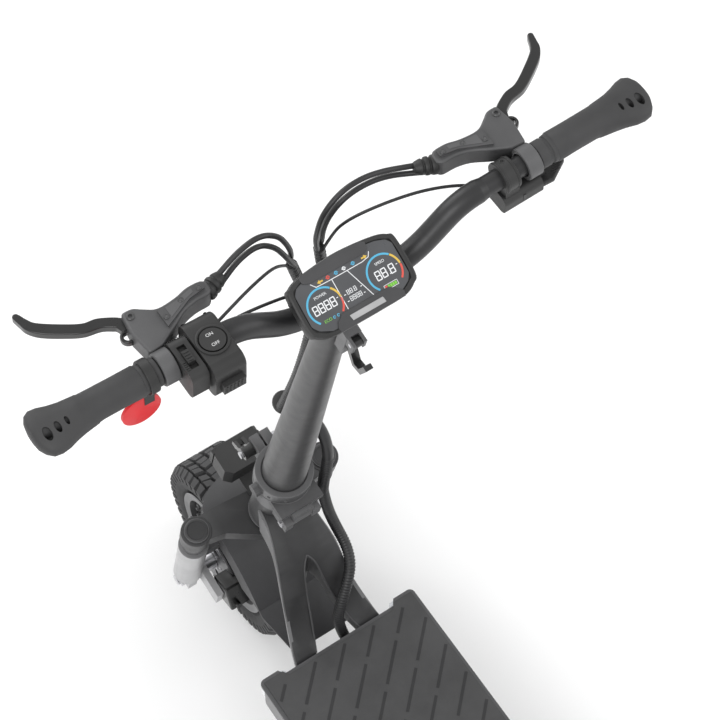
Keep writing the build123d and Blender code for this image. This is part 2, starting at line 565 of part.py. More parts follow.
def cables():
    """Hoses and wires along the bar, the two sleeves down the stem, and the conduit to the deck."""
    hoses = [
        [(263, 131.6, 1272), (268, 112, 1278), (271, 90, 1290), (273, 64, 1294), (272, 44, 1278),
         (274, 33, 1250), (281, 24, 1216), steer_point(64, 20, 638)],
        [(254, 131.6, 1268), (263, 112, 1271), (270, 90, 1278), (273, 66, 1279), (273, 48, 1260),
         (274, 37, 1234), (278, 27, 1206), steer_point(57, 18, 638)],
        [(263, -131.6, 1272), (272, -108, 1273), (277, -83, 1280), (277.5, -58, 1287), (276.5, -32, 1285),
         (275, -10, 1266), (276, -3, 1238), (282, -5, 1210), steer_point(60.5, -11, 638)],
        [(254, -131.6, 1268), (268, -112, 1264), (278, -88, 1266), (278, -62, 1273), (277, -37, 1271),
         (278.5, -20, 1252), (281, -13.5, 1228), (286, -15, 1202), steer_point(65, -18, 638)],
    ]
    wires = [
        [(225, 145.5, 1270), (232, 124, 1270), (240, 102, 1268), (249, 79, 1262), (259, 59, 1249),
         (269, 43, 1227), steer_point(60.5, 25.4, 638)],
        [(222.5, 145.5, 1262), (224.5, 128, 1262), (225.5, 108, 1258), (227, 84, 1250), (227, 62, 1243),
         (222, 46, 1242), (216, 38, 1248.5)],
        [(220, -171.5, 1250), (233, -154, 1252), (245, -122, 1257), (254, -90, 1257), (264, -52, 1250),
         (272, -31, 1236), (277, -22, 1218), steer_point(58.5, -17.8, 638)],
    ]
    tubes = [swept(route, HOSE_R) for route in hoses] + [swept(route, WIRE_R) for route in wires]
    save("bar_cables", group(*tubes))
    left = [(61, 20, 635), (56, 12, 600), (44, 0, 550), (35, -7, 500), (33, -9, 400), (35, -9, 260),
            (44, -8, 150)]
    right = [(62, -14.5, 635), (60, -20, 600), (50, -25, 550), (43, -26, 500), (42, -27, 400),
             (45, -26, 260), (50, -23.5, 150)]
    sleeves = [swept([steer_point(*p) for p in route], SLEEVE_R) for route in (left, right)]
    save("cable_sleeves", group(*sleeves))
    loop = [(47, -15.8, 147.5), (48, -19, 122), (42, -36, 102), (24, -53, 86), (3, -58, 66), (-13, -57, 38),
            (-22, -53, 4), (-27, -50, -28), (-31, -50, -62)]
    save("conduit_loop", swept([steer_point(*p) for p in loop], CONDUIT_R))
    start = steer_point(-31.8, -50, -67)
    down = [start, (354, -51, 452), (348, -54, 416), (336, -58, 386), (316, -60, 364), (297, -54, 347),
            (284, -40, 328), (274, -23, 300), (269, -13, 270), (264, -14, 242), CONDUIT_GATE, CONDUIT_END]
    save("conduit", swept(down, CONDUIT_R))


# ---------------------------------------------------------------- frame and deck
def neck():
    """Head tube and the arched neck whose two arms run down to the front of the deck."""
    top = Spline((396, 462), (356, 440), (323, 394), (298, 316), (262, 258), (236, 240))
    under = Spline((236, 214), (262, 236), (286, 262), (314, 318), (342, 372), (396, 392))
    side = make_face([top, Line(top @ 1, under @ 0), under, Line(under @ 1, top @ 0)])
    body = extrude(Plane.XZ * side, 80, both=True)
    edge = Spline((396, 30), (356, 34), (323, 44), (298, 52), (262, 64), (236, 70))
    ends = [Line((396, 30), (396, -30)), Line((236, 70), (236, -70))]
    plan = make_face([edge, mirror(edge, about=Plane.XZ)] + ends)
    body &= Pos(0, 0, 150) * extrude(plan, 400)
    arch = Spline((323, 0), (312, 11), (285, 21), (245, 37), (225, 45))
    hole = make_face([arch, mirror(arch, about=Plane.XZ), Line((225, 45), (225, -45))])
    body -= Pos(0, 0, 100) * extrude(hole, 500)
    body += box(236, DECK_FRONT, -84, 84, 170, TUB_TOP)
    low, high = steer_point(0, 0, HEAD_LOW), steer_point(0, 0, HEAD_TOP)
    body += rod(HEAD_R, low, high)
    body -= steer(box(-90, 90, -90, 90, HEAD_TOP, 40))
    body -= steer(box(-20, 90, -90, 90, -230, HEAD_LOW))
    body -= rod(20, steer_point(0, 0, HEAD_LOW - 20), steer_point(0, 0, HEAD_TOP + 20))
    body -= rod(CUP_R, steer_point(0, 0, HEAD_LOW - 20), steer_point(0, 0, HEAD_LOW + 12))
    body -= rod(CUP_R, steer_point(0, 0, HEAD_TOP - 12), steer_point(0, 0, HEAD_TOP + 20))
    body -= rod(CONDUIT_R + 3, CONDUIT_GATE, CONDUIT_END)
    body -= box(DECK_FRONT - 20, 236, -200, 200, 0, 400)
    return body


def headset():
    """Upper and lower bearing cups."""
    rings = []
    for w, direction in ((HEAD_LOW, 1), (HEAD_TOP, -1)):
        cup = rod(CUP_R, (0, 0, w), (0, 0, w + 12 * direction))
        cup += rod(HEAD_R, (0, 0, w), (0, 0, w - FLANGE_T * direction))
        rings.append(cup - rod(STEERER_R + RUN, (0, 0, w - 30), (0, 0, w + 30)))
    return steer(group(*rings))


def deck():
    """Tub, lid, rubber mat, corner guards and lights, battery, controllers and stand bracket."""
    tub = box(-300, 236, -TUB_HALF_W, TUB_HALF_W, TUB_BOTTOM, TUB_TOP)
    tub -= box(-300 + WALL, 236 - WALL, -TUB_HALF_W + WALL, TUB_HALF_W - WALL, TUB_BOTTOM + WALL, TUB_TOP + 1)
    for y0, y1 in ((98, 108), (-108, -98)):
        tub += box(-338, -298, y0, y1, PIVOT_Z - 16, PIVOT_Z + 16)
    tub -= rod(PIVOT_R, (PIVOT_X, -130, PIVOT_Z), (PIVOT_X, 130, PIVOT_Z))
    tub -= rod(CONDUIT_R + 3, CONDUIT_GATE, CONDUIT_END)
    for y0, y1 in ((98, 102), (114, 118)):
        tub += box(STAND_X - 9, STAND_X + 9, y0, y1, STAND_Z - 8, TUB_BOTTOM + 1)
    tub += rod(4, (STAND_X, 98, STAND_Z), (STAND_X, 118, STAND_Z))
    save("deck_shell", tub)
    save("swingarm_pin", rod(PIVOT_R, (PIVOT_X, -112, PIVOT_Z), (PIVOT_X, 112, PIVOT_Z)))

    corner = 9
    outline = [(DECK_REAR, -DECK_HALF_W), (DECK_FRONT + corner, -DECK_HALF_W), (DECK_FRONT + corner, -96),
               (DECK_FRONT, -90), (DECK_FRONT, 90), (DECK_FRONT + corner, 96),
               (DECK_FRONT + corner, DECK_HALF_W), (DECK_REAR, DECK_HALF_W)]
    lid = prism(outline, TUB_TOP, TUB_TOP + LID_T)
    uprights = lid.edges().filter_by(Axis.Z).group_by(Axis.Y)
    lid = fillet(uprights[0] + uprights[-1], 8)
    save("deck_plate", lid)
    inset = [(x - (6 if x > 0 else -6), y * 121.5 / DECK_HALF_W) for x, y in outline]
    mat = prism(inset, TUB_TOP + LID_T, DECK_TOP)
    save("grip_mat", mat)
    guard = box(178, 240, TUB_HALF_W, DECK_HALF_W - 0.5, 205, TUB_TOP)
    save("corner_guards", both(fillet(guard.edges().filter_by(Axis.Y), 5)))
    light = fillet(box(236, 253, 86, 126, 226, TUB_TOP).edges().filter_by(Axis.Z).sort_by(Axis.X)[-2:], 7)
    light -= box(236, 240.5, TUB_HALF_W - 0.01, 130, 200, TUB_TOP + 1)
    save("corner_lights", both(light))
    floor = TUB_BOTTOM + WALL
    battery = soft_box(-210, 80, -95, 95, floor, floor + 72, 6)
    controllers = [soft_box(100, 190, y0, y1, floor, floor + 45, 3) for y0, y1 in ((8, 100), (-100, -8))]
    save("battery_and_controllers", group(battery, *controllers))


def rear():
    """Swingarm on rubber torsion cartridges, rear caliper, mudguard and tail light."""
    arm = [(PIVOT_X + 4, PIVOT_Z + 15), (PIVOT_X + 6, PIVOT_Z - 14), (REAR_X - 2, TYRE_R - 18),
           (REAR_X - 16, TYRE_R - 6), (REAR_X - 16, TYRE_R + 8), (REAR_X - 2, TYRE_R + 18)]
    swing = rod(16, (PIVOT_X, -97.5, PIVOT_Z), (PIVOT_X, 97.5, PIVOT_Z))
    for y0, y1 in ((ARM_IN, ARM_OUT), (-ARM_OUT, -ARM_IN)):
        swing += side_prism(arm, y0, y1)
    swing -= rod(PIVOT_R + RUN, (PIVOT_X, -120, PIVOT_Z), (PIVOT_X, 120, PIVOT_Z))
    swing -= rod(AXLE_R, (REAR_X, -120, TYRE_R), (REAR_X, 120, TYRE_R))
    save("swingarm", swing)
    brake = caliper(20) + box(30, 70, 74, 82, -12, 12)
    brake -= rod(SHOULDER_R + 4, (0, 60, 0), (0, 90, 0))
    save("rear_caliper", at_wheel(brake, REAR_X) - box(-700, 0, 82, 100, 0, 300))

    guard = at_wheel(mudguard(153, 48, 150, 60, 122, 60, (-143, 62)), REAR_X)
    for y0, y1 in ((60, ARM_IN), (-ARM_IN, -60)):
        guard += box(REAR_X + 17, REAR_X + 37, y0, y1, 158, 168)
    for y0, y1 in ((60, 63), (-63, -60)):
        guard += box(REAR_X + 17, REAR_X + 37, y0, y1, 158, 276)
    lamp = at_wheel(Rot(0, -138, 0) * box(156.6, 164, -28, 28, -9, 9), REAR_X)
    save("rear_mudguard", guard - lamp)
    save("tail_light", lamp)


def kickstand():
    """Side stand: hub, leg and flat foot; drawn in use."""
    stand = rod(8, (STAND_X, 102.6, STAND_Z), (STAND_X, 113.4, STAND_Z))
    stand += box(STAND_X - 7, STAND_X + 7, 102.6, 113.4, 126, STAND_Z)
    stand += rod(7, (STAND_X, 108, 130), (STAND_X + 4, 164, 4)) - box(0, 200, 0, 300, -20, 0)
    stand += fillet(box(STAND_X - 16, STAND_X + 24, 152, 178, 0, 7).edges().filter_by(Axis.Z), 6)
    return stand - rod(4 + RUN, (STAND_X, 90, STAND_Z), (STAND_X, 130, STAND_Z))


wheels()
fork()
headlight()
folding_joint()
stem()
controls()
cables()
save("neck_frame", neck())
save("headset_cups", headset())
deck()
rear()
save("kickstand", kickstand())
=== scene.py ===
import json
import math

import bmesh
import bpy
from mathutils import Matrix, Vector


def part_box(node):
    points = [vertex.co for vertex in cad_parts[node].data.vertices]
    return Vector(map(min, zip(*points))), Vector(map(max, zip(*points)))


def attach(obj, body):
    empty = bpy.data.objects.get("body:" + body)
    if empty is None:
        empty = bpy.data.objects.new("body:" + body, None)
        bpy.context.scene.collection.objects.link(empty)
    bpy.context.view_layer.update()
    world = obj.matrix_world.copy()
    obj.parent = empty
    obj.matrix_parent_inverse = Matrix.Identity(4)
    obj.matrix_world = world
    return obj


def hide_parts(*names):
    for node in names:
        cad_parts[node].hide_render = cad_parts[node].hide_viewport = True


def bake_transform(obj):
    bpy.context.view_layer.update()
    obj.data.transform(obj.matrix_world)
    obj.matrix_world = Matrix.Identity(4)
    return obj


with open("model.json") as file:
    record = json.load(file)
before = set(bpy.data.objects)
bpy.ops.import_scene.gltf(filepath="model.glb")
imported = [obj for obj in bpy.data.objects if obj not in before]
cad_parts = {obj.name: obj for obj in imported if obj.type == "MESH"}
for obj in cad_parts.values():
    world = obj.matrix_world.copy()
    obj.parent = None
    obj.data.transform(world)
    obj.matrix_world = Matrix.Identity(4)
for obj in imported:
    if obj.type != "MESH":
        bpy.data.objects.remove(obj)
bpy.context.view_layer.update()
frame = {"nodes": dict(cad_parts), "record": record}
MM = 0.001

# ---------------------------------------------------------------- camera, floor and light
CAMERA_AT = Vector((-0.730, 0.621, 3.041))
CAMERA_HEADING, CAMERA_DOWN, CAMERA_LENS = -33.9, 60.1, 108.05


def make_camera():
    """Camera at the photograph's viewing angle."""
    camera = bpy.data.cameras.new("camera")
    camera.lens = CAMERA_LENS
    camera.sensor_width = 36.0
    holder = bpy.data.objects.new("camera", camera)
    a, e = math.radians(CAMERA_HEADING), math.radians(CAMERA_DOWN)
    look = Vector((math.cos(e) * math.cos(a), math.cos(e) * math.sin(a), -math.sin(e)))
    holder.location = CAMERA_AT
    holder.rotation_euler = look.to_track_quat("-Z", "Y").to_euler()
    bpy.context.scene.collection.objects.link(holder)
    bpy.context.scene.camera = holder


def area_light(name, place, target, size, power):
    """Square soft light aimed at a target."""
    light = bpy.data.lights.new(name, "AREA")
    light.shape = "SQUARE"
    light.size = size
    light.energy = power
    holder = bpy.data.objects.new(name, light)
    holder.location = place
    holder.rotation_euler = (Vector(target) - Vector(place)).to_track_quat("-Z", "Y").to_euler()
    bpy.context.scene.collection.objects.link(holder)


def make_stage():
    """Pale floor, pale surroundings and three soft lights."""
    bpy.ops.mesh.primitive_plane_add(size=14.0, location=(0, 0, 0))
    floor = bpy.context.object
    floor.name = "floor"
    paint = bpy.data.materials.new("floor_white")
    paint.use_nodes = True
    shader = paint.node_tree.nodes["Principled BSDF"]
    shader.inputs["Base Color"].default_value = (0.93, 0.93, 0.93, 1)
    shader.inputs["Roughness"].default_value = 0.9
    floor.data.materials.append(paint)
    world = bpy.data.worlds.new("studio")
    world.use_nodes = True
    world.node_tree.nodes["Background"].inputs[0].default_value = (1, 1, 1, 1)
    world.node_tree.nodes["Background"].inputs[1].default_value = 0.85
    bpy.context.scene.world = world
    area_light("key", (-1.6, 2.2, 3.6), (0.1, 0, 0.7), 2.2, 60)
    area_light("fill", (-1.2, -2.6, 2.6), (0.1, 0, 0.7), 2.4, 28)
    area_light("back", (3.0, 0.6, 2.8), (0.2, 0, 0.8), 2.0, 40)


make_camera()
make_stage()
bpy.context.scene.view_settings.view_transform = "Standard"


# ---------------------------------------------------------------- materials
def shader_of(name):
    """New material with its tree and its shader."""
    made = bpy.data.materials.new(name)
    made.use_nodes = True
    return made, made.node_tree, made.node_tree.nodes["Principled BSDF"]


def noise(tree, scale, detail=3.0, roughness=0.55, stretch=None):
    """Noise in object space; scale is in features per metre."""
    place = tree.nodes.new("ShaderNodeTexCoord")
    texture = tree.nodes.new("ShaderNodeTexNoise")
    texture.inputs["Scale"].default_value = scale
    texture.inputs["Detail"].default_value = detail
    texture.inputs["Roughness"].default_value = roughness
    if stretch:
        mapping = tree.nodes.new("ShaderNodeMapping")
        mapping.inputs["Scale"].default_value = stretch
        tree.links.new(place.outputs["Object"], mapping.inputs["Vector"])
        tree.links.new(mapping.outputs["Vector"], texture.inputs["Vector"])
    else:
        tree.links.new(place.outputs["Object"], texture.inputs["Vector"])
    return texture.outputs["Fac"]


def remap(tree, value, low, high, source=(0.3, 0.7)):
    """Value taken from a source range to low..high."""
    node = tree.nodes.new("ShaderNodeMapRange")
    node.inputs["From Min"].default_value, node.inputs["From Max"].default_value = source
    node.inputs["To Min"].default_value, node.inputs["To Max"].default_value = low, high
    tree.links.new(value, node.inputs["Value"])
    return node.outputs["Result"]


def mix_color(tree, factor, dark, light):
    """Blend of two colours, or of a colour and another socket."""
    node = tree.nodes.new("ShaderNodeMix")
    node.data_type = "RGBA"
    for socket, value in (("A", dark), ("B", light)):
        target = [s for s in node.inputs if s.name == socket and s.type == "RGBA"][0]
        if isinstance(value, tuple):
            target.default_value = (*value, 1)
        else:
            tree.links.new(value, target)
    factor_in = [s for s in node.inputs if s.name == "Factor" and s.type == "VALUE"][0]
    tree.links.new(factor, factor_in)
    return [s for s in node.outputs if s.type == "RGBA"][0]


def finish(name, color, roughness, metallic=0.0, grain=900.0, bump=0.15, depth=0.0002, mottle=0.12, edge_wear_and_highlight=0.0,
           coat=0.0, stretch=None):
    """Painted, cast or moulded surface: mottled colour, uneven gloss, fine grain, and lighter convex edges
    that are partly wear and partly a painted highlight.
    """
    made, tree, shader = shader_of(name)
    dark = tuple(c * (1 - mottle) for c in color)
    light = tuple(min(1, c * (1 + mottle) + 0.002) for c in color)
    tone = mix_color(tree, remap(tree, noise(tree, 22), 0, 1), dark, light)
    # convex edges, found by pointiness, are lightened: partly rubbed wear, partly a painted highlight
    # standing in for the light caught by rounded edges
    if edge_wear_and_highlight:
        edge = tree.nodes.new("ShaderNodeNewGeometry")
        rubbed_and_lit_edges = remap(tree, edge.outputs["Pointiness"], 0, edge_wear_and_highlight, (0.52, 0.62))
        tone = mix_color(tree, rubbed_and_lit_edges, tone, tuple(min(1, c * 2.2 + 0.06) for c in color))
    tree.links.new(tone, shader.inputs["Base Color"])
    rough = remap(tree, noise(tree, 60, 4), roughness - 0.03, roughness + 0.04)
    tree.links.new(rough, shader.inputs["Roughness"])
    shader.inputs["Metallic"].default_value = metallic
    shader.inputs["Coat Weight"].default_value = coat
    bumps = tree.nodes.new("ShaderNodeBump")
    bumps.inputs["Strength"].default_value = bump
    bumps.inputs["Distance"].default_value = depth
    tree.links.new(noise(tree, grain, 2, 0.5, stretch), bumps.inputs["Height"])
    tree.links.new(bumps.outputs["Normal"], shader.inputs["Normal"])
    return made


def glow(name, color, strength):
    """Lit mark on the display."""
    made, tree, shader = shader_of(name)
    tone = mix_color(tree, remap(tree, noise(tree, 400), 0, 1), tuple(c * 0.92 for c in color), color)
    tree.links.new(tone, shader.inputs["Base Color"])
    tree.links.new(tone, shader.inputs["Emission Color"])
    shader.inputs["Emission Strength"].default_value = strength
    shader.inputs["Roughness"].default_value = 0.4
    return made


MATERIALS = {
    "deck_black": finish("deck_black", (0.026, 0.026, 0.027), 0.48, 0.3, 1400, 0.2, edge_wear_and_highlight=0.3),
    "frame_grey": finish("frame_grey", (0.034, 0.034, 0.035), 0.45, 0.25, 1500, 0.22, edge_wear_and_highlight=0.3),
    "stem_grey": finish("stem_grey", (0.053, 0.053, 0.054), 0.42, 0.35, 1600, 0.15, mottle=0.04, edge_wear_and_highlight=0.2),
    "cast_grey": finish("cast_grey", (0.082, 0.082, 0.084), 0.5, 0.4, 700, 0.4, 0.0003, edge_wear_and_highlight=0.4),
    "light_grey": finish("light_grey", (0.17, 0.17, 0.173), 0.45, 0.45, 1200, 0.15, edge_wear_and_highlight=0.2),
    "fork_silver": finish("fork_silver", (0.37, 0.37, 0.375), 0.38, 0.5, 1300, 0.12, edge_wear_and_highlight=0.2),
    "steel": finish("steel", (0.55, 0.55, 0.57), 0.3, 0.9, 500, 0.15, 0.0001, stretch=(1, 6, 1)),
    "black_metal": finish("black_metal", (0.007, 0.007, 0.007), 0.3, 0.1, 1500, 0.1, edge_wear_and_highlight=0.15, coat=0.3),
    "motor_black": finish("motor_black", (0.022, 0.022, 0.024), 0.42, 0.4, 1200, 0.15, edge_wear_and_highlight=0.2),
    "black_plastic": finish("black_plastic", (0.013, 0.013, 0.013), 0.5, 0.0, 1800, 0.3, edge_wear_and_highlight=0.1),
    "guard_plastic": finish("guard_plastic", (0.040, 0.040, 0.042), 0.55, 0.0, 1900, 0.3, edge_wear_and_highlight=0.1),
    "grip_rubber": finish("grip_rubber", (0.034, 0.034, 0.035), 0.62, 0.0, 1500, 0.35),
    "tyre": finish("tyre", (0.024, 0.024, 0.025), 0.72, 0.0, 900, 0.45, 0.0004, mottle=0.2, edge_wear_and_highlight=0.25),
    "mat_rubber": finish("mat_rubber", (0.046, 0.046, 0.047), 0.7, 0.0, 1200, 0.4, 0.0003),
    "cable_black": finish("cable_black", (0.016, 0.016, 0.017), 0.42, 0.0, 1500, 0.15),
    "lens_clear": finish("lens_clear", (0.75, 0.77, 0.80), 0.15, 0.0, 500, 0.2, coat=0.6),
    "lens_red": finish("lens_red", (0.62, 0.006, 0.012), 0.42, 0.0, 600, 0.15, coat=0.1),
    "screen": finish("screen", (0.055, 0.057, 0.062), 0.3, 0.0, 800, 0.05, coat=0.5),
    "battery_wrap": finish("battery_wrap", (0.02, 0.06, 0.2), 0.35, 0.0, 900, 0.1),
}

for entry in frame["record"]["subparts"]:
    node = frame["nodes"][entry["node"]]
    node.data.materials.clear()
    node.data.materials.append(MATERIALS[entry["material_slot"]])

MATERIALS.update({
    "brass": finish("brass", (0.55, 0.36, 0.13), 0.32, 0.85, 900, 0.1, edge_wear_and_highlight=0.3),
    "white_print": finish("white_print", (0.62, 0.62, 0.62), 0.5, 0.0, 1500, 0.1),
    # darker colour of the mat's dashes: painted shade of the mat's grooves
    "mat_groove_shade": finish("mat_groove_shade", (0.020, 0.020, 0.021), 0.75, 0.0, 1300, 0.4, 0.0003),
    "bar_grey": finish("bar_grey", (0.026, 0.026, 0.027), 0.4, 0.3, 1600, 0.15, mottle=0.05, edge_wear_and_highlight=0.15),
    "edge_grey": finish("edge_grey", (0.060, 0.060, 0.062), 0.45, 0.3, 1400, 0.15, edge_wear_and_highlight=0.3),
    "dark_steel": finish("dark_steel", (0.12, 0.12, 0.125), 0.4, 0.8, 700, 0.15, edge_wear_and_highlight=0.2),
    "lamp_white": glow("lamp_white", (0.62, 0.63, 0.64), 0.35),
    "lamp_blue": glow("lamp_blue", (0.07, 0.33, 0.50), 0.3),
    "lamp_yellow": glow("lamp_yellow", (0.55, 0.37, 0.06), 0.3),
    "lamp_red": glow("lamp_red", (0.55, 0.07, 0.05), 0.3),
    "lamp_green": glow("lamp_green", (0.16, 0.45, 0.05), 0.3),
})

# ---------------------------------------------------------------- frames of the CAD model, in millimetres
def frame_of(place, degrees=0.0, axis="Y"):
    """Place and tilt of a CAD frame; millimetres in, metres out."""
    return Matrix.Translation(place) @ Matrix.Rotation(math.radians(degrees), 4, axis) @ Matrix.Scale(MM, 4)


MIRROR = Matrix.Diagonal((1, -1, 1, 1))
WORLD = Matrix.Scale(MM, 4)
STEER = frame_of((0.373, 0, 0.550), -13)
BAR = {1: frame_of((0.209, 0, 1.26451), 2.9, "X")}
BAR[-1] = MIRROR @ BAR[1]
SCREEN = frame_of((0.191, 0.011, 1.266), -28)


def wheel_frame(node):
    """Frame at the centre of a tyre's CAD node."""
    low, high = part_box(node)
    return Matrix.Translation((low + high) / 2) @ Matrix.Scale(MM, 4)


FRONT, REAR = wheel_frame("front_tyre"), wheel_frame("rear_tyre")


# ---------------------------------------------------------------- mesh helpers
def add_loft(bm, rings, caps=True, closed=False):
    """Skin through rings of points; every ring has as many points as the first."""
    rows = [[bm.verts.new(p) for p in ring] for ring in rings]
    count = len(rows[0])
    pairs = list(zip(rows, rows[1:])) + ([(rows[-1], rows[0])] if closed else [])
    for a, b in pairs:
        for i in range(count):
            bm.faces.new((a[i], a[(i + 1) % count], b[(i + 1) % count], b[i]))
    if caps and not closed:
        bm.faces.new(rows[0][::-1])
        bm.faces.new(rows[-1])


def add_lathe(bm, profile, steps=48, axis="Z", closed=False, centre=(0, 0, 0)):
    """Turns (along, radius) points about an axis through centre."""
    rings = []
    for along, radius in profile:
        ring = []
        for k in range(steps):
            a = 2 * math.pi * k / steps
            c, s = radius * math.cos(a), radius * math.sin(a)
            local = {"Z": (c, s, along), "Y": (c, along, s), "X": (along, c, s)}[axis]
            ring.append(Vector(local) + Vector(centre))
        rings.append(ring)
    add_loft(bm, rings, closed=closed)


def add_prism(bm, outline, z0, z1):
    """Polygon in plan, raised from z0 to z1."""
    add_loft(bm, [[(x, y, z) for x, y in outline] for z in (z0, z1)])


def add_box(bm, x0, x1, y0, y1, z0, z1):
    """Box between two corners."""
    add_prism(bm, [(x0, y0), (x1, y0), (x1, y1), (x0, y1)], z0, z1)


def add_screw(bm, x, y, z, r=2.6, h=1.6):
    """Button head with a recessed socket, standing on z."""
    rings = [(z, r), (z + 0.6 * h, r), (z + h, 0.72 * r), (z + h, 0.48 * r), (z + 0.35 * h, 0.42 * r)]
    add_lathe(bm, rings, 18, centre=(x, y, 0))


def spline_points(points, per_run=6):
    """Smooth outline through the given points."""
    pts = [Vector(p) for p in points]
    pts = [2 * pts[0] - pts[1]] + pts + [2 * pts[-1] - pts[-2]]
    out = []
    for p0, p1, p2, p3 in zip(pts, pts[1:], pts[2:], pts[3:]):
        for k in range(per_run):
            t = k / per_run
            out.append(0.5 * (2 * p1 + (p2 - p0) * t + (2 * p0 - 5 * p1 + 4 * p2 - p3) * t * t
                              + (3 * p1 - p0 - 3 * p2 + p3) * t ** 3))
    return out + [pts[-2]]


def link(name, data, body, slot, replaces=()):
    """Names a piece, gives it its finish and puts it on its body."""
    thing = bpy.data.objects.new(name, data)
    bpy.context.scene.collection.objects.link(thing)
    data.materials.append(MATERIALS[slot])
    if body:
        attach(thing, body)
    if replaces:
        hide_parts(*replaces)
    return thing


def make(name, bm, matrix, body, slot, replaces=(), bevel=0.0, segments=2, angle=35):
    """Turns a bmesh drawn in millimetres into a piece."""
    bmesh.ops.transform(bm, matrix=matrix, verts=bm.verts)
    bmesh.ops.recalc_face_normals(bm, faces=bm.faces)
    mesh = bpy.data.meshes.new(name)
    bm.to_mesh(mesh)
    bm.free()
    mesh.polygons.foreach_set("use_smooth", [True] * len(mesh.polygons))
    mesh.set_sharp_from_angle(angle=math.radians(angle))
    thing = link(name, mesh, body, slot, replaces)
    if bevel:
        round_edges(thing, bevel, segments)
    return thing


def round_edges(thing, width_mm, segments=2, degrees=35):
    """Rounds the edges that are sharper than an angle."""
    bevel = thing.modifiers.new("rounded", "BEVEL")
    bevel.width = width_mm * MM
    bevel.segments = segments
    bevel.limit_method = "ANGLE"
    bevel.angle_limit = math.radians(degrees)
    bevel.harden_normals = True
    return bevel


def route_curve(name, points, radius_mm):
    """Smooth cable line whose control points are the CAD route's points (metres)."""
    curve = bpy.data.curves.new(name, "CURVE")
    curve.dimensions = "3D"
    curve.resolution_u = 14
    curve.bevel_depth = radius_mm * MM
    curve.bevel_resolution = 5
    curve.use_fill_caps = radius_mm > 0
    spline = curve.splines.new("NURBS")
    spline.points.add(len(points) - 1)
    for knot, xyz in zip(spline.points, points):
        knot.co = (*xyz, 1)
    spline.order_u = 3
    spline.use_endpoint_u = True
    return curve


def route_line(points):
    """Points read from the route's own spline."""
    holder = bpy.data.objects.new("line", route_curve("line", points, 0))
    mesh = bpy.data.meshes.new_from_object(holder)
    line = [v.co.copy() for v in mesh.vertices]
    bpy.data.objects.remove(holder)
    bpy.data.meshes.remove(mesh)
    return line


def even(line, step):
    """Walks the line in even steps (metres)."""
    out, left = [line[0]], step
    for a, b in zip(line, line[1:]):
        length = (b - a).length
        while left <= length:
            out.append(a.lerp(b, left / length))
            left += step
        left -= length
    return out


def frames_along(line):
    """A pair of side directions at each point, without twist."""
    tangent = (line[1] - line[0]).normalized()
    side = tangent.orthogonal().normalized()
    out = []
    for k, p in enumerate(line):
        ahead, back = line[min(k + 1, len(line) - 1)], line[max(k - 1, 0)]
        new = (ahead - back).normalized()
        side = (side - new * side.dot(new)).normalized()
        out.append((p, side, new.cross(side)))
    return out


def add_tube(bm, line, radius_of, sides=18, unit=MM):
    """Skin round a line; unit turns the radii into the line's own measure."""
    rings = []
    for k, (p, a, b) in enumerate(frames_along(line)):
        r = radius_of(k) * unit
        rings.append([p + (a * math.cos(2 * math.pi * i / sides) + b * math.sin(2 * math.pi * i / sides)) * r
                      for i in range(sides)])
    add_loft(bm, rings)


def points_of(matrix, points):
    """Points of a CAD frame, in the row frame."""
    return [matrix @ Vector(p) for p in points]


UNIT = Matrix.Identity(4)


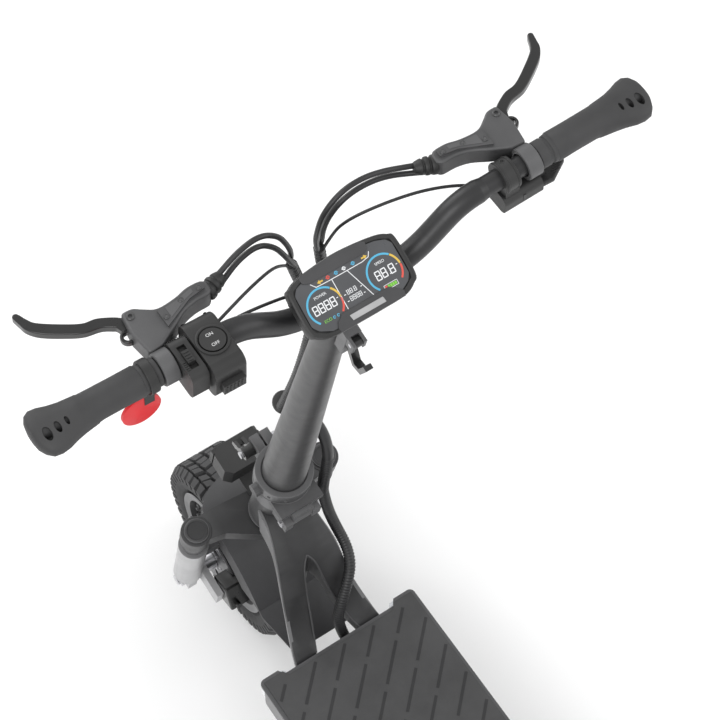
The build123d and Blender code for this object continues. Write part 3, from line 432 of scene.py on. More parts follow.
# ---------------------------------------------------------------- cables
def cables():
    """Hoses, wires, wrapped sleeves and the ribbed conduit, on the CAD model's routes."""
    hoses = [
        [(263, 131.6, 1272), (268, 112, 1278), (271, 90, 1290), (273, 64, 1294), (272, 44, 1278),
         (274, 33, 1250), (281, 24, 1216)],
        [(254, 131.6, 1268), (263, 112, 1271), (270, 90, 1278), (273, 66, 1279), (273, 48, 1260),
         (274, 37, 1234), (278, 27, 1206)],
        [(263, -131.6, 1272), (272, -108, 1273), (277, -83, 1280), (277.5, -58, 1287), (276.5, -32, 1285),
         (275, -10, 1266), (276, -3, 1238), (282, -5, 1210)],
        [(254, -131.6, 1268), (268, -112, 1264), (278, -88, 1266), (278, -62, 1273), (277, -37, 1271),
         (278.5, -20, 1252), (281, -13.5, 1228), (286, -15, 1202)],
    ]
    wires = [
        [(225, 145.5, 1270), (232, 124, 1270), (240, 102, 1268), (249, 79, 1262), (259, 59, 1249),
         (269, 43, 1227)],
        [(222.5, 145.5, 1262), (224.5, 128, 1262), (225.5, 108, 1258), (227, 84, 1250), (227, 62, 1243),
         (222, 46, 1242), (216, 38, 1248.5)],
        [(220, -171.5, 1250), (233, -154, 1252), (245, -122, 1257), (254, -90, 1257), (264, -52, 1250),
         (272, -31, 1236), (277, -22, 1218)],
    ]
    entries = [(64, 20, 638), (57, 18, 638), (60.5, -11, 638), (65, -18, 638)]
    wire_entries = [(60.5, 25.4, 638), None, (58.5, -17.8, 638)]
    for k, (route, entry) in enumerate(zip(hoses + wires, entries + wire_entries)):
        points = points_of(WORLD, route) + (points_of(STEER, [entry]) if entry else [])
        radius = 3.0 if k < 4 else 1.7
        link(f"hose_{k}", route_curve(f"hose_{k}", points, radius), "stem", "cable_black", ("bar_cables",))

    left = [(61, 20, 635), (56, 12, 600), (44, 0, 550), (35, -7, 500), (33, -9, 400), (35, -9, 260),
            (44, -8, 150)]
    right = [(62, -14.5, 635), (60, -20, 600), (50, -25, 550), (43, -26, 500), (42, -27, 400), (45, -26, 260),
             (50, -23.5, 150)]
    for side, route in (("left", left), ("right", right)):
        line = even(route_line(points_of(STEER, route)), 0.0015)
        bm = bmesh.new()
        last = len(line) - 1
        add_tube(bm, line, lambda k: 6.3 if k % 4 else 5.7)
        wrap = []
        for k, (p, a, b) in enumerate(frames_along(line)):
            turn = 2 * math.pi * k / 6
            wrap.append(p + (a * math.cos(turn) + b * math.sin(turn)) * 0.0062)
        add_tube(bm, wrap, lambda k: 0.8 if 2 < k < last - 2 else 0.3, 8)
        make(f"sleeve_{side}", bm, UNIT, "stem", "cable_black", ("cable_sleeves",), angle=60)

    loop = [(47, -15.8, 147.5), (48, -19, 122), (42, -36, 102), (24, -53, 86), (3, -58, 66), (-13, -57, 38),
            (-22, -53, 4), (-27, -50, -28), (-31, -50, -62)]
    line = even(route_line(points_of(STEER, loop)), 0.0011)
    bm = bmesh.new()
    ribs_from = int(len(line) * 0.62)
    add_tube(bm, line, lambda k: 7.7 if k < ribs_from else (8.0, 8.0, 7.1, 7.1)[k % 4])
    upper = make("conduit_upper", bm, UNIT, None, "cable_black", ("conduit_loop",), angle=50)
    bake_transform(upper)

    down = points_of(STEER, [(-31, -50, -62.5), (-31.8, -50, -67)])
    down += points_of(WORLD, [(354, -51, 452), (348, -54, 416), (336, -58, 386), (316, -60, 364),
                              (297, -54, 347),
                              (284, -40, 328), (274, -23, 300), (269, -13, 270), (264, -14, 242),
                              (254, -17, 216), (230, -20.3, 201)])
    line = even(route_line(down), 0.0011)
    bm = bmesh.new()
    add_tube(bm, line, lambda k: (8.0, 8.0, 7.1, 7.1)[k % 4])
    lower = make("conduit_lower", bm, UNIT, None, "cable_black", ("conduit",), angle=50)
    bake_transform(lower)

    bm = bmesh.new()
    end = points_of(STEER, [(47, -15.8, 160), (47.6, -15.8, 138)])
    line = [end[0].lerp(end[1], k / 10) for k in range(11)]
    add_tube(bm, line, lambda k: (9, 14.5, 15.5, 15.5, 15, 13.5, 12, 10.8, 9.8, 9.3, 8.4)[k], 24)
    make("sleeve_joint", bm, UNIT, "stem", "black_plastic")

    for side in (1, -1):
        bm = bmesh.new()
        a, b = BAR[side] @ Vector((49.5, 135.5, 1)), WORLD @ Vector((266.5, side * 112.5, 1273.5))
        line = [a.lerp(b, k / 24) for k in range(25)]
        radii = [9.6, 10.3, 10.4, 10.4, 10.4, 10.3, 9.9, 8.3, 8.3, 9.7, 9.8, 9.8, 9.6, 9.2, 7.8, 7.8, 8.6,
                 8.5, 8.2,
                 7.9, 7.5, 7.1, 6.7, 6.3, 5.2]
        add_tube(bm, line, lambda k: radii[k], 26)
        make("boot_left" if side > 0 else "boot_right", bm, UNIT, "stem", "black_plastic", angle=30)


# ---------------------------------------------------------------- wheels
TREAD_PITCHES = 24


def crown_r(y):
    """Radius of the blocks' tops across the tread."""
    table = [(0, 144.8), (35, 144.6), (44, 141.6), (47.8, 136)]
    y = abs(y)
    for (y0, r0), (y1, r1) in zip(table, table[1:]):
        if y <= y1:
            return r0 + (r1 - r0) * (y - y0) / (y1 - y0)
    return 136.0


def add_block(bm, corners, depth=7.5, draft=0.8):
    """One tread block over four (y, angle) corners, narrower at its top."""
    my = sum(y for y, _ in corners) / 4
    ma = sum(a for _, a in corners) / 4
    rings = []
    for grow, drop in ((1.10, depth), (1.0, 1.0), (1 - 0.05 * draft, 0.0)):
        ring = []
        for y, a in corners:
            yy = max(-47.8, min(47.8, my + (y - my) * grow))
            aa = ma + (a - ma) * grow
            r = crown_r(yy) - drop
            ring.append((r * math.cos(aa), yy, r * math.sin(aa)))
        rings.append(ring)
    add_loft(bm, rings)


def tyre(prefix, matrix, body):
    """Off-road tyre: carcass, two rows of split centre blocks, and shoulder blocks that run down the wall."""
    bm = bmesh.new()
    outer = [(37, 92.4), (37.6, 99), (40, 104), (44, 108), (44.4, 109.5), (46.4, 114), (47.2, 122),
             (46.2, 129), (41, 133.5),
             (30, 136.5), (15, 137.8), (0, 138.2)]
    inner = [(30, 92.4), (30, 98), (36, 104), (40, 116), (38, 126), (30, 131), (0, 132.5)]
    profile = outer + [(-y, r) for y, r in outer[-2::-1]] + [(-y, r) for y, r in inner] + inner[-2::-1]
    add_lathe(bm, profile, 120, "Y", closed=True)
    step = 2 * math.pi / TREAD_PITCHES
    for k in range(TREAD_PITCHES):
        for side in (1, -1):
            a0 = step * (k + (0.0 if side > 0 else 0.5))
            skew = 0.10 * step * side
            for lo, hi in ((0.03, 0.40), (0.46, 0.83)):
                corners = [(side * 2.5, a0 + step * lo), (side * 19, a0 + step * lo + skew),
                           (side * 16.5, a0 + step * hi + skew), (side * 2.5, a0 + step * hi)]
                add_block(bm, corners)
            for lo, hi in ((0.30, 0.62), (0.68, 1.02)):
                corners = [(side * 22.5, a0 + step * lo), (side * 34, a0 + step * lo - skew),
                           (side * 34, a0 + step * hi - skew), (side * 21, a0 + step * hi)]
                add_block(bm, corners)
            for lo, hi in ((0.05, 0.44), (0.56, 0.93)):
                corners = [(side * 37, a0 + step * lo), (side * 47.8, a0 + step * (lo + 0.04)),
                           (side * 47.8, a0 + step * (hi - 0.04)), (side * 37, a0 + step * hi)]
                add_block(bm, corners, 9)
                rings = []
                for r, y in ((137, 44), (136.5, 47.9), (124, 47.9), (117, 45.5)):
                    ring = []
                    for y_in, a in ((y, lo + 0.05), (y, hi - 0.05), (y - 4, hi - 0.05), (y - 4, lo + 0.05)):
                        angle = a0 + step * a
                        ring.append((r * math.cos(angle), side * y_in, r * math.sin(angle)))
                    rings.append(ring)
                add_loft(bm, rings)
    make(f"{prefix}_tyre_treaded", bm, matrix, body, "tyre", (f"{prefix}_tyre",), angle=30)

    bm = bmesh.new()
    for side in (1, -1):
        ring = [(43.4, 88.5), (44.6, 90.5), (44.6, 96), (45.6, 98), (45.6, 100.6), (44.2, 101.9),
                (43.3, 101.6)]
        add_lathe(bm, [(side * y, r) for y, r in ring], 96, "Y", closed=True)
        for k in range(24):
            a = 2 * math.pi * (k + 0.5) / 24
            centre = Vector((77 * math.cos(a), side * 36.5, 77 * math.sin(a)))
            add_lathe(bm, [(-3, 2.8), (2.2, 2.8), (2.8, 1.6), (1.6, 1.2)] if side > 0 else
                      [(3, 2.8), (-2.2, 2.8), (-2.8, 1.6), (-1.6, 1.2)], 10, "Y", centre=centre)
    make(f"{prefix}_rim_lips", bm, matrix, body, "light_grey")

    bm = bmesh.new()
    for k in range(6):
        a = 2 * math.pi * k / 6
        centre = (51 * math.cos(a), 0, 51 * math.sin(a))
        add_lathe(bm, [(-40, 4.4), (-43.6, 4.4), (-44.4, 3), (-42.4, 2.2)], 16, "Y", centre=centre)
        centre = (21.5 * math.cos(a), 0, 21.5 * math.sin(a))
        add_lathe(bm, [(58, 3.2), (59.2, 3.2), (59.6, 2.2), (58.9, 1.6)], 16, "Y", centre=centre)
    make(f"{prefix}_hub_screws", bm, matrix, body, "steel")

    bm = bmesh.new()
    angle = math.radians(128)
    base, out = Vector((96 * math.cos(angle), 45, 96 * math.sin(angle))), Vector((0, 8, 0))
    turn = Vector((-math.cos(angle), 0, -math.sin(angle))) * 8
    line = [base, base + out * 0.55, base + out * 0.85 + turn * 0.12, base + out + turn * 0.35,
            base + out + turn]
    add_tube(bm, line, lambda k: (3.4, 3.0, 2.8, 2.8, 3.4)[k], 12, 1)
    make(f"{prefix}_valve", bm, matrix, body, "brass")


# ---------------------------------------------------------------- controls on the bar
def lettering(word, size, thick, matrix, place, body, slot):
    """A generic word as thin raised letters, read from the rider's side."""
    text = bpy.data.curves.new(f"word_{word}", "FONT")
    text.body, text.size, text.extrude = word, size, thick
    text.align_x, text.align_y = "CENTER", "CENTER"
    holder = bpy.data.objects.new("word", text)
    mesh = bpy.data.meshes.new_from_object(holder)
    bpy.data.objects.remove(holder)
    mesh.transform(matrix @ Matrix.Translation(place) @ Matrix.Rotation(-math.pi / 2, 4, "Z"))
    link(f"word_{word}", mesh, body, slot)


def grip(side):
    """Grip with its collar, and a wide end with three oval wells."""
    bm = bmesh.new()
    stations = [(239.6, 15.4, 15.4, 15.4), (241, 16.5, 16.5, 16.5), (262, 16.2, 16.2, 16.2),
                (288, 16.3, 16.6, 16.1),
                (296, 16.5, 17.4, 15.9), (297.5, 17.1, 18.2, 16.3), (308, 17.3, 20.4,
                                                                     15.4), (318, 18.6, 23.4, 14.3),
                (328, 21.3, 27.2, 13.2), (337, 24.6, 28.7, 12.6), (345, 25.6, 27.4,
                                                                   12.2), (350.5, 22.4, 21.8, 11.4),
                (353.8, 16.5, 15.0, 9.6), (355.3, 8.5, 8.0, 5.5)]
    rings = []
    for y, front, rear, high in stations:
        bend = max(0.0, 1 - abs(y - 297) / 14) * 7
        ring = []
        for i in range(40):
            t = 2 * math.pi * i / 40
            c, s = math.cos(t), math.sin(t)
            flat = 0.86 if y > 300 else 1.0
            x = (front if c > 0 else rear) * math.copysign(abs(c) ** flat, c)
            ring.append((x, y + bend * (s if c > 0 else s + 0.4 * c),
                         high * math.copysign(abs(s) ** flat, s)))
        rings.append(ring)
    add_loft(bm, rings)
    body = make(f"grip_{'left' if side > 0 else 'right'}", bm, BAR[side], "stem", "grip_rubber", ("grips",),
                angle=40)

    wells = bmesh.new()
    for x, y, rx, ry in ((-10, 342, 7.6, 4.2), (-9, 330.5, 6.2, 3.1), (-8, 320.5, 4.6, 2.0)):
        rings = []
        for z, k in ((3.0, 0.8), (4.0, 0.95), (22, 1.05)):
            rings.append([(x + rx * k * math.cos(2 * math.pi * i / 20),
                           y + ry * k * math.sin(2 * math.pi * i / 20), z) for i in range(20)])
        add_loft(wells, rings)
    bmesh.ops.transform(wells, matrix=BAR[side], verts=wells.verts)
    bmesh.ops.recalc_face_normals(wells, faces=wells.faces)
    cutter_mesh = bpy.data.meshes.new("wells")
    wells.to_mesh(cutter_mesh)
    wells.free()
    cutter = bpy.data.objects.new("wells", cutter_mesh)
    bpy.context.scene.collection.objects.link(cutter)
    cut = body.modifiers.new("wells", "BOOLEAN")
    cut.operation, cut.object, cut.solver = "DIFFERENCE", cutter, "EXACT"
    bpy.context.view_layer.update()
    solid = bpy.data.meshes.new_from_object(body.evaluated_get(bpy.context.evaluated_depsgraph_get()))
    body.modifiers.clear()
    body.data = solid
    bpy.data.objects.remove(cutter)

    bm = bmesh.new()
    add_lathe(bm, [(220.2, 11.6), (220.2, 14.3), (221, 15), (231.5, 15), (232.5, 14), (234.5, 14),
                   (235.5, 15.2),
                   (239, 15.6), (240.5, 15), (240.5, 11.6)], 44, "Y", closed=True)
    make(f"grip_collar_{'left' if side > 0 else 'right'}", bm, BAR[side], "stem", "grip_rubber", ("grips",))


def brake_lever(side):
    """Curved blade with a rounded tip, and a root plate with an open eye."""
    name = "left" if side > 0 else "right"
    front = spline_points([(66, 218), (72, 226), (79, 240), (81.5, 254), (92, 272), (105, 290),
                           (113, 295.5), (120, 298.5)])
    back = spline_points([(121.5, 306.5), (112, 304.5), (103, 302), (92, 293), (79, 274), (70.5, 258),
                          (67, 241),
                          (60, 229)])
    outline = [tuple(p) for p in front] + [(124, 300.5), (125, 303.5),
                                           (123.6, 306)] + [tuple(p) for p in back]
    outline += [(52, 226), (50, 207), (65, 208)]
    bm = bmesh.new()
    add_prism(bm, outline, -4.7, 4.7)
    ring = [(46 + 8.0 * math.cos(t),
             224 + 8.0 * math.sin(t)) for t in [2 * math.pi * k / 32 for k in range(32)]]
    hole = [(46 + 4.4 * math.cos(t),
             224 + 4.4 * math.sin(t)) for t in [2 * math.pi * k / 32 for k in range(32)]]
    add_loft(bm, [[(x, y, -3.6) for x, y in ring], [(x, y, 3.6) for x, y in ring],
                  [(x, y, 3.6) for x, y in hole], [(x, y, -3.6) for x, y in hole]], closed=True)
    make(f"brake_blade_{name}", bm, BAR[side], f"brake_lever_{name}", "black_metal",
         (f"brake_lever_{name}",), 1.9, 3)

    shell = [(14, 219), (15.5, 203.5), (26, 184), (36, 167), (40, 152), (42, 134), (57, 134), (59, 151),
             (55, 167),
             (53.5, 187), (60, 199), (66, 208), (66.5, 220), (40, 223)]
    bm = bmesh.new()
    smooth = [tuple(p[:2]) for p in spline_points([(x, y, 0) for x, y in shell[1:13]], 4)]
    add_prism(bm, smooth + [(40, 223), (14, 219)], -11, 13)
    make(f"brake_shell_{name}", bm, BAR[side], "stem", "cast_grey", ("brake_bodies",), 3.0, 4)
    bm = bmesh.new()
    add_lathe(bm, [(203.2, 13.2), (203.2, 16.6), (204.2, 17.6), (218.2, 17.6), (219.2, 16.6),
                   (219.2, 13.2)], 56, "Y",
              closed=True)
    make(f"brake_band_{name}", bm, BAR[side], "stem", "cast_grey", ("brake_bodies",))
    bm = bmesh.new()
    for x, y in ((50, 143), (47, 165), (38, 186)):
        add_screw(bm, x, y, 15.6, 3.0, 1.9)
    add_screw(bm, 58, 214, 12.6, 4.2, 2.2)
    make(f"brake_screws_{name}", bm, BAR[side], "stem", "stem_grey")
    bm = bmesh.new()
    plate = [(45.5, 160), (48.5, 150), (53.5, 150), (49, 168), (47.5, 182), (35, 182)]
    add_prism(bm, plate, 15.4, 16.5)
    make(f"brake_trim_{name}", bm, BAR[side], "stem", "cast_grey", bevel=0.4)


def pods():
    """Details of the switch pods and the throttle."""
    bm = bmesh.new()
    add_lathe(bm, [(20.6, 17.2), (22.2, 16.8), (22.6, 15.9), (22.4, 14.4), (21.2, 13.8), (20.4, 14.5)], 48,
              centre=(-10, 164.5, 0), closed=True)
    for y in (152.5, 177.5):
        for z in (-16, 12):
            add_lathe(bm, [(24.0, 1.9), (24.6, 1.6), (24.2, 0.8)], 14, "X", centre=(0, y, z))
    make("switch_ring", bm, BAR[1], "stem", "black_plastic")
    bm = bmesh.new()
    for k in range(7):
        add_box(bm, 9.0, 15.2, 186 + 2.1 * k, 187.2 + 2.1 * k, -12, 13)
    for k in range(5):
        add_box(bm, -26 + 2.3 * k, -24.8 + 2.3 * k, 198.2, 201.6, 18.6, 19.8)
    make("light_pod_ribs", bm, BAR[1], "stem", "black_plastic", bevel=0.35)
    bm = bmesh.new()
    for k in range(4):
        add_box(bm, -18.8 + 3.2 * k, -17.2 + 3.2 * k, 190.2, 196.4, 21.6, 22.8)
    make("light_slider_ribs", bm, BAR[1], "light_slider", "black_plastic", bevel=0.3)
    bm = bmesh.new()
    for k in range(5):
        add_box(bm, -51, -49.6, 155.5 + 4.2 * k, 157.2 + 4.2 * k, -11, -1)
    make("horn_ribs", bm, BAR[1], "horn_button", "black_plastic", bevel=0.35)
    for word, x in (("ON", -4.2), ("OFF", -15.8)):
        lettering(word, 5.0, 0.12, BAR[1], (x, 164.5, 22.75), "power_rocker", "white_print")

    bm = bmesh.new()
    outline = [(-18.4, -24), (-18.4, -34), (-15, -40), (-9, -43.4), (11, -43.4), (17, -40), (20.4, -34),
               (20.4, -24)]
    inner = [(x * 0.93 + 0.07, (z + 30) * 0.9 - 30) for x, z in outline]
    rings = []
    for y, ring in ((194, inner), (194, outline), (197.5, outline), (197.5, inner)):
        rings.append([(x, y, z) for x, z in ring])
    add_loft(bm, rings, closed=True)
    for y in (177, 190):
        add_lathe(bm, [(y - 1.4, 17.0), (y - 1.0, 17.6), (y + 1.0, 17.6), (y + 1.4, 17.0)], 48, "Y")
    add_lathe(bm, [(16.4, 3.0), (18.6, 3.0), (19.2, 2.0), (18.0, 1.4)], 16, centre=(6, 183.5, -2))
    make("throttle_seams", bm, BAR[-1], "stem", "black_plastic", bevel=0.3)
    bm = bmesh.new()
    for k in range(6):
        add_box(bm, -10 + 2.3 * k, -8.8 + 2.3 * k, 234 + 2.4 * k, 246 + 1.8 * k, -31, -29.9)
    make("throttle_ribs", bm, BAR[-1], "throttle_lever", "black_plastic", bevel=0.3)


# ---------------------------------------------------------------- display

def add_strip(bm, a, b, width, z0=-0.28, z1=-0.1):
    """Flat bar from a to b in the screen's plane."""
    a, b = Vector((*a, 0)), Vector((*b, 0))
    side = (b - a).normalized().cross(Vector((0, 0, 1))) * width / 2
    add_prism(bm, [tuple(p[:2]) for p in (a - side, b - side, b + side, a + side)], z0, z1)


def add_arc(bm, centre, r0, r1, a0, a1, z0=-0.28, z1=-0.1):
    """Ring sector; angles from the rider's right, counter-clockwise, in degrees."""
    count = max(3, int(abs(a1 - a0) / 6))
    outer, inner = [], []
    for k in range(count + 1):
        a = math.radians(a0 + (a1 - a0) * k / count)
        x, y = math.sin(a), -math.cos(a)
        outer.append((centre[0] + r1 * x, centre[1] + r1 * y))
        inner.append((centre[0] + r0 * x, centre[1] + r0 * y))
    for k in range(count):
        add_prism(bm, [inner[k], inner[k + 1], outer[k + 1], outer[k]], z0, z1)


def add_digits(bm, text, x, y, high, wide, gap):
    """Seven-segment figures, all segments lit, reading towards the rider's right (-y)."""
    t = high * 0.125
    for mark in text:
        if mark == ".":
            add_strip(bm, (x, y - t), (x + t, y - t), t)
            y -= 2 * t
            continue
        for row in (0, 1, 2):
            height = x + row * high / 2
            add_strip(bm, (height, y + t * 0.2), (height, y - wide - t * 0.2), t)
        for row in (0, 1):
            for side in (0, 1):
                yy = y - side * wide
                add_strip(bm, (x + row * high / 2 + t * 0.3, yy), (x + (row + 1) * high / 2 - t * 0.3, yy), t)
        y -= wide + gap


def display():
    """Bezel covers, gauges, figures and lamps of the display."""
    bm = bmesh.new()
    top = [(22.5, 41), (20.8, 37), (20.8, -26), (23.5, -31), (31, -32), (33.9, -24), (35.6, 0), (33.9, 24),
           (31.6, 43),
           (29, 45), (24, 44)]
    add_prism(bm, top, -2.5, 1.4)
    low = [(-22, 27), (-19, 24.5), (-19, -31), (-22.5, -35), (-29, -43), (-35, -42), (-35.1, 33), (-30, 34),
           (-24, 31)]
    add_prism(bm, low, -2.5, 1.4)
    make("bezel_covers", bm, SCREEN, "stem", "guard_plastic", bevel=0.7, segments=3)
    half = [(36, 0), (34.5, 25), (31.5, 46), (27, 57), (20, 63), (-20, 63.5), (-29, 57), (-35, 44), (-36, 20)]
    loop = half + [(x, -y) for x, y in half[:0:-1]]
    points = [(x, y, 0) for x, y in loop[-2:] + loop + loop[:3]]
    outline = [tuple(p[:2]) for p in spline_points(points, 5)[10:10 + 5 * len(loop)]]
    bm = bmesh.new()
    rings = []
    for scale_x, scale_y, z in ((0.90, 0.94, -16), (0.95, 0.97, -15.2), (0.985, 0.99, -12),
                                (0.99, 0.99, -7.4),
                                (0.975, 0.98, -7.1), (0.975, 0.98,
                                                      -6.5), (0.992, 0.992, -6.2), (0.985, 0.99, -2),
                                (0.965, 0.98, 0.4), (0.93, 0.955,
                                                     1.2), (0.875, 0.915, 1.0), (0.855, 0.90, 0.2),
                                (0.845, 0.893, -1.9)):
        rings.append([(x * scale_x, y * scale_y, z) for x, y in outline])
    add_loft(bm, rings)
    make("display_body", bm, SCREEN, "stem", "black_plastic", ("display_housing",), angle=28)
    bm = bmesh.new()
    for side in (1, -1):
        for k in range(6):
            y0, y1 = sorted((side * 61.4, side * 62.9))
            add_box(bm, -14 + 5 * k, -11.6 + 5 * k, y0, y1, -13.5, -8.5)
    make("display_grips", bm, SCREEN, "stem", "guard_plastic", bevel=0.2)
    bm = bmesh.new()
    add_prism(bm, [(-24.4, 18), (-24.4, -20.5), (-30.4, -21.5), (-30.4, 17)], 1.0, 2.0)
    make("bezel_plate", bm, SCREEN, "stem", "fork_silver", bevel=0.4)

    marks = {name: bmesh.new() for name in ("lamp_blue", "lamp_yellow", "lamp_red", "lamp_white",
                                            "lamp_green")}
    for y, digits, width in ((34, "8888", 4.6), (-35, "88.8", 4.8)):
        centre = (-5, y)
        for name, a0, a1 in (("lamp_blue", 225, 47), ("lamp_yellow", 45, 2), ("lamp_red", 0, -45)):
            add_arc(marks[name], centre, 17.2, 19.2, a0, a1)
        total = len(digits.replace(".", "")) * (width + 2.2)
        add_digits(marks["lamp_white"], digits, -9.5, y + total / 2 - 0.5, 8.8, width, 2.0)
        add_strip(marks["lamp_white"], (-3.5, y - 13.6), (-3.5, y - 15.4), 0.8)
    for a, b in (((20, 37), (15, 33)), ((15, 33), (14.5, 20)), ((14.5, 20), (14.5, -20)),
                 ((14.5, -20), (16, -28)),
                 ((16, -28), (20.5, -31)), ((14.5, 15.5), (-18.6, 15.5)), ((14.5, -2.5), (-18.6, -14))):
        add_strip(marks["lamp_white"], a, b, 0.75)
    for x, text in ((-6.2, "88.8"), (-13.2, "8888")):
        add_digits(marks["lamp_white"], text, x, 8.5, 4.2, 2.3, 1.2)
        add_strip(marks["lamp_white"], (x + 1, 12.4), (x + 1, 10.4), 0.8)
        add_strip(marks["lamp_white"], (x + 1, -6.4), (x + 1, -8.0), 0.8)
    for name, y in (("lamp_yellow", 27), ("lamp_yellow", -24)):
        tip = 3.2 if y > 0 else -3.2
        add_prism(marks[name], [(17.8, y + tip), (20.0, y), (18.6, y), (18.6, y - tip), (17.0, y - tip),
                                (17.0, y),
                                (15.6, y)], -0.28, -0.1)
    for name, y in (("lamp_red", 18), ("lamp_blue", 8.5), ("lamp_white", -0.5), ("lamp_blue", -11)):
        add_arc(marks[name], (17.9, y), 0.9, 1.9, 20, 330)
        add_strip(marks[name], (17.9, y + 2.6), (17.9, y - 2.6), 0.5)
    for y in (31.5, 27):
        add_arc(marks["lamp_blue"], (-18.6, y), 0.8, 1.5, 0, 300)
    add_box(marks["lamp_red"], -20.4, -17.2, -27.8, -30.2, -0.28, -0.1)
    for k in range(4):
        add_box(marks["lamp_green"], -20.4, -17.2, -30.8 - 2.6 * k, -33.0 - 2.6 * k, -0.28, -0.1)
    for a, b in (((-21.2, -27), (-21.2, -42)), ((-16.4, -27), (-16.4, -42)), ((-21.4, -27), (-16.2, -27)),
                 ((-21.4, -42), (-16.2, -42))):
        add_strip(marks["lamp_white"], a, b, 0.5)
    for name, bm in marks.items():
        make(f"marks_{name[5:]}", bm, SCREEN, "stem", name)
    for word, x, y, size, slot in (("POWER", 5.8, 34, 4.0, "lamp_white"),
                                   ("SPEED", 5.8, -35, 4.0, "lamp_white"),
                                   ("ECO", -18.6, 38.5, 4.2, "lamp_green")):
        lettering(word, size, 0.08, SCREEN, (x, y, -0.18), "stem", slot)


# ---------------------------------------------------------------- deck, neck and front end
def deck_details():
    """Dark dashes on the grip mat that paint the shade in its grooves, plate screws, side seams and lamp
    ribs.
    """
    bm = bmesh.new()
    dash_start, dash_step, dash_run, line_pitch, first_line = -117, 54, 46, 48.4, 38.6
    mat_front, mat_back, mat_side = 234, -294, 117
    starts = [dash_start + dash_step * k for k in range(5)]
    for line in range(-9, 10):
        total = first_line + line_pitch * line
        for y0 in starts:
            ya, yb = max(y0, total - mat_front), min(y0 + dash_run, mat_side, total - mat_back)
            if yb - ya < 5:
                continue
            xa, xb, w = total - ya, total - yb, 1.5
            add_prism(bm, [(xa - w, ya - w), (xa + w, ya + w), (xb + w, yb + w), (xb - w, yb - w)], 259.9,
                      260.35)
    # thin dark dashes laid on the mat: painted shade where the mat has grooves
    make("mat_groove_shade_dashes", bm, WORLD, "frame", "mat_groove_shade")
    bm = bmesh.new()
    for x in (-270, -190, -110, -30, 50, 130, 200):
        for side in (1, -1):
            centre = (x, side * 118.6, 182)
            rows = [(-0.6, 4.2), (1.4, 4.2), (2.0, 3.0), (1.1, 2.2)]
            add_lathe(bm, [(side * a, r) for a, r in rows], 16, "Y", centre=centre)
    make("deck_screws", bm, WORLD, "frame", "steel")
    bm = bmesh.new()
    for side in (1, -1):
        rail = [(side * 118.4, 236), (side * 121.4, 237), (side * 122.2, 240), (side * 122.2, 247),
                (side * 118.4, 249)]
        add_loft(bm, [[(x, y, z) for y, z in rail] for x in (-288, 170)])
        groove = [(side * 118.4, 196), (side * 120, 197), (side * 120, 203), (side * 118.4, 204)]
        add_loft(bm, [[(x, y, z) for y, z in groove] for x in (-280, 150)])
    make("deck_side_rails", bm, WORLD, "frame", "light_grey", bevel=0.6)
    bm = bmesh.new()
    for side in (1, -1):
        for k in range(8):
            y = side * (89.5 + 4.7 * k)
            add_box(bm, 252.4, 253.9, min(y, y + side * 1.6), max(y, y + side * 1.6), 229.5, 247.5)
    make("corner_light_ribs", bm, WORLD, "frame", "lens_clear", bevel=0.4)


def level(line, x):
    """Second coordinate of a line that runs towards smaller x."""
    for a, b in zip(line, line[1:]):
        if b.x <= x <= a.x:
            return a.y + (b.y - a.y) * (a.x - x) / max(1e-6, a.x - b.x)
    return line[-1].y


def neck_details():
    """Raised line round the neck's opening, lighter strips on the neck's flanks that paint the light falling
    on its side walls, and the head tube's lips.
    """
    plan = spline_points([(323, 0, 0), (312, 11, 0), (285, 21, 0), (262, 30, 0), (248, 36, 0)], 8)
    top = [(396, 462), (356, 440), (323, 394), (298, 316), (262, 258), (236, 240)]
    curve = spline_points([(x, z, 0) for x, z in top], 24)

    edge = [Vector((p.x, p.y, level(curve, p.x) + 0.2)) * MM for p in plan]
    mirrored = [Vector((p.x, -p.y, p.z)) for p in edge[::-1]]
    bm = bmesh.new()
    add_tube(bm, even(mirrored[:-1] + edge, 0.003), lambda k: 1.3, 10)
    make("neck_opening_rim", bm, UNIT, "frame", "edge_grey")
    below = spline_points([(x, z, 0) for x, z in [(396, 392), (342, 372), (314, 318), (286, 262),
                                                  (262, 236), (240, 216)]], 10)
    side_y = spline_points([(x, y, 0) for x, y in [(396, 30), (356, 34), (323, 44), (298, 52), (262, 64),
                                                   (236, 70)]], 10)

    # light grey strips along both flanks of the neck: painted light on the neck's side walls
    bm = bmesh.new()
    for side in (1, -1):
        rings = []
        for k in range(40):
            x = 388 - 146 * k / 39
            y, z0, z1 = level(side_y, x), level(below, x) + 3, level(curve, x) - 2.5
            rings.append([(x, side * (y - 3), z0), (x, side * (y + 2.2), z0), (x, side * (y + 2.2), z1),
                          (x, side * (y - 3), z1)])
        add_loft(bm, rings)
    make("neck_flanks_painted_light", bm, WORLD, "frame", "light_grey", angle=60)
    bm = bmesh.new()
    for w in (-163.4, -63.6):
        add_lathe(bm, [(w - 1.5, 31.0), (w - 1.3, 32.0), (w + 1.3, 32.0), (w + 1.5, 31.0)], 64)
    make("head_tube_lips", bm, STEER, "frame", "cast_grey")


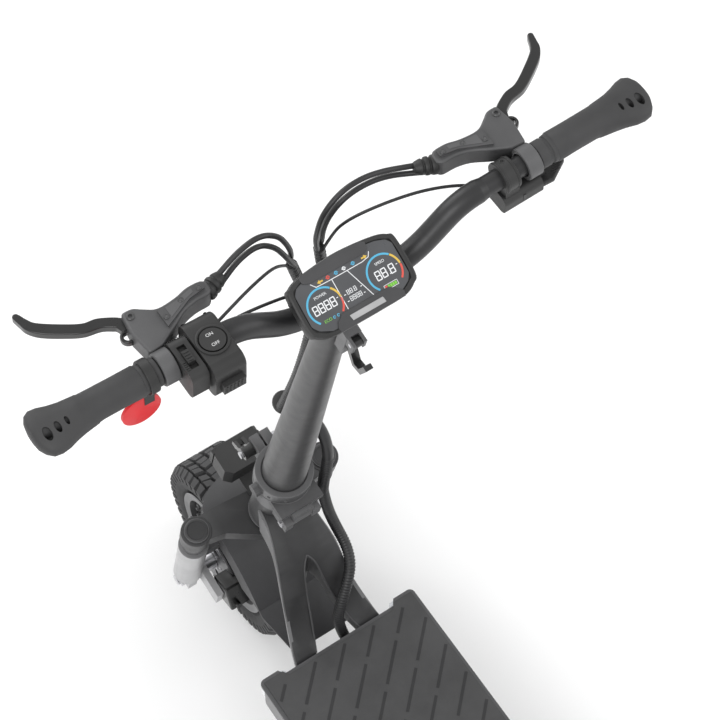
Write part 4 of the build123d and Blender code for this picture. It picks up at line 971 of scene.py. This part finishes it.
def front_details():
    """Clamp, latch and fork trim around the folding joint."""
    bm = bmesh.new()
    for w, r in ((24, 37.4), (-3.4, 37.8)):
        add_lathe(bm, [(w - 0.8, r - 0.6), (w - 0.4, r + 0.9), (w + 0.5, r + 0.9), (w + 0.9, r - 0.6)], 72)
    make("collar_lips", bm, STEER, "stem", "cast_grey")
    # dark ring filling the gap between the collar and the stem: painted shade in the gap
    bm = bmesh.new()
    add_lathe(bm, [(22.6, 28.6), (24.9, 28.6), (25.0, 30.8), (24.2, 31.6), (22.6, 31.6)], 72, closed=True)
    make("stem_gap_shade", bm, STEER, "stem", "cable_black")
    bm = bmesh.new()
    for u, w in ((49.5, 12), (41, 6)):
        for side in (1, -1):
            centre = (u, 0, w - 6)
            rows = [(13.4, 4.6), (15.4, 4.4), (16.0, 3.2), (14.4, 2.4)]
            add_lathe(bm, [(-a, r) for a, r in rows], 18, "Y", centre=centre)
    for angle in (118, 152, -118, -152):
        a = math.radians(angle)
        centre = (37.0 * math.cos(a), 37.0 * math.sin(a), 0)
        add_lathe(bm, [(8, 2.6), (9.5, 2.6), (9.9, 1.6)], 14, centre=centre)
    make("collar_screws", bm, STEER, "stem", "stem_grey")
    bm = bmesh.new()
    for k in range(9):
        a = 2 * math.pi * k / 9
        y, z = 8.4 * math.cos(a), -38 + 8.4 * math.sin(a)
        add_lathe(bm, [(43, 1.0), (44, 1.5), (52, 1.5), (53.2, 0.9)], 10, "X", centre=(0, y, z))
    make("knob_ribs", bm, STEER, "latch_knob", "black_plastic")
    for name, rider, w, r in (("fork_crown_rings", "steer", -207.2, 19.6),
                              ("fork_dust_rings", "fork_sliders", -245.2, 21.4)):
        bm = bmesh.new()
        for side in (1, -1):
            rows = [(w - 1.0, r - 1.4), (w - 0.7, r), (w + 0.7, r), (w + 1.0, r - 1.4)]
            add_lathe(bm, rows, 48, centre=(27, side * 103, 0))
        make(name, bm, STEER, rider, "light_grey")
    bm = bmesh.new()
    for side in (1, -1):
        rows = [(-171.6, 16.6), (-170.9, 16.4), (-170.2, 15.2), (-170.2, 13.2), (-170.9, 12.6)]
        add_lathe(bm, rows, 48, centre=(27, side * 103, 0))
        add_lathe(bm, [(-176.2, 20.8), (-175.4, 21.4), (-174.8, 20.6), (-174.8, 17.2), (-176, 17)], 48,
                  centre=(27, side * 103, 0), closed=True)
    make("fork_cap_rims", bm, STEER, "steer", "frame_grey")
    bm = bmesh.new()
    outline = [(-35, -170), (-35, -133), (-30.5, -128.2), (30.5, -128.2), (35, -133), (35, -170),
               (30.5, -173.8),
               (-30.5, -173.8)]
    rings = []
    for u, k in ((97.5, 1.0), (104.2, 1.0), (105.2, 0.96), (104.2, 0.87), (99, 0.85)):
        rings.append([(u, v * k, -151 + (w + 151) * k) for v, w in outline])
    add_loft(bm, rings)
    make("headlight_bezel", bm, STEER, "steer", "black_plastic", bevel=0.6)
    bm = bmesh.new()
    for k in range(-5, 6):
        add_box(bm, 104.8, 105.8, 4.6 * k - 0.5, 4.6 * k + 0.5, -166, -138)
    for row in (-159, -145):
        for k in range(-1, 2):
            add_lathe(bm, [(104.6, 6.0), (106.0, 5.4), (106.3, 3.0)], 24, "X", centre=(0, 15 * k, row))
    make("headlight_optics", bm, STEER, "steer", "lens_clear")


def fender_trim(matrix, body, name, r, lo, hi, half, slot="guard_plastic"):
    """Raised seam and rolled edges on a mudguard."""
    bm = bmesh.new()
    for y, width in ((0, 1.1), (half * 0.62, 0.7), (-half * 0.62, 0.7)):
        rings = []
        for k in range(49):
            a = math.radians(lo + (hi - lo) * k / 48)
            ring = []
            for dr, dy in ((-1.2, -width), (0.55, -width), (0.55, width), (-1.2, width)):
                ring.append(((r + dr) * math.cos(a), y + dy, (r + dr) * math.sin(a)))
            rings.append(ring)
        add_loft(bm, rings)
    make(name, bm, matrix, body, slot, bevel=0.25)


def small_details():
    """Stand foot, reflector, and tail lamp ribs on the swingarm."""
    bm = bmesh.new()
    outline = [(46, 150.5), (82, 150.5), (86, 156), (86, 174), (82, 179.5), (46, 179.5), (42, 174), (42, 156)]
    add_prism(bm, outline, 0.2, 3.4)
    for k in range(4):
        add_box(bm, 46.5 + 9.5 * k, 51.5 + 9.5 * k, 153.5, 176.5, 6.6, 7.6)
    make("stand_foot", bm, WORLD, "kickstand", "grip_rubber", bevel=0.8)
    bm = bmesh.new()
    add_lathe(bm, [(-8, 19.5), (-7.2, 21.4), (-4, 21.4), (-3.2, 20.4), (-3.2, 17.2), (-2.6, 16.4),
                   (-3.2, 15.6),
                   (-3.2, 10.8), (-2.6, 10), (-3.2, 9.2), (-3.2, 4)], 64, "X", centre=(0, 243, -42))
    make("reflector_disc", bm, BAR[1], "stem", "lens_red", ("bar_reflector",))
    bm = bmesh.new()
    add_lathe(bm, [(226, 15.2), (226, 17.4), (226.8, 18), (235.2, 18), (236, 17.4), (236, 15.2)], 48, "Y",
              closed=True)
    add_box(bm, -8.6, -5.4, 229, 240, -34, -14)
    make("reflector_band", bm, BAR[1], "stem", "black_plastic", ("bar_reflector",))
    low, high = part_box("tail_light")
    centre, size_mm = (low + high) / 2 / MM, (high - low) / MM
    bm = bmesh.new()
    for k in range(-4, 5):
        y = k * size_mm.y * 0.095
        add_box(bm, low.x / MM - 0.4, low.x / MM + 1.2, y - 1.2, y + 1.2, centre.z - size_mm.z * 0.22,
                centre.z + size_mm.z * 0.22)
    make("tail_light_ribs", bm, WORLD, "swingarm", "lens_red", bevel=0.3)


for name, slot_name in (("handlebar", "bar_grey"), ("front_caliper", "black_metal"),
                        ("rear_caliper", "black_metal"),
                        ("fork_stanchions", "cast_grey"), ("front_brake_disc", "dark_steel"),
                        ("rear_brake_disc", "dark_steel"), ("deck_plate", "edge_grey")):
    frame["nodes"][name].data.materials[0] = MATERIALS[slot_name]
cables()
for prefix, place, rider in (("front", FRONT, "front_wheel"), ("rear", REAR, "rear_wheel")):
    tyre(prefix, place, rider)
for hand in (1, -1):
    grip(hand)
    brake_lever(hand)
pods()
display()
deck_details()
neck_details()
front_details()
fender_trim(REAR, "swingarm", "rear_fender_trim", 156.5, 52, 148, 56)
small_details()
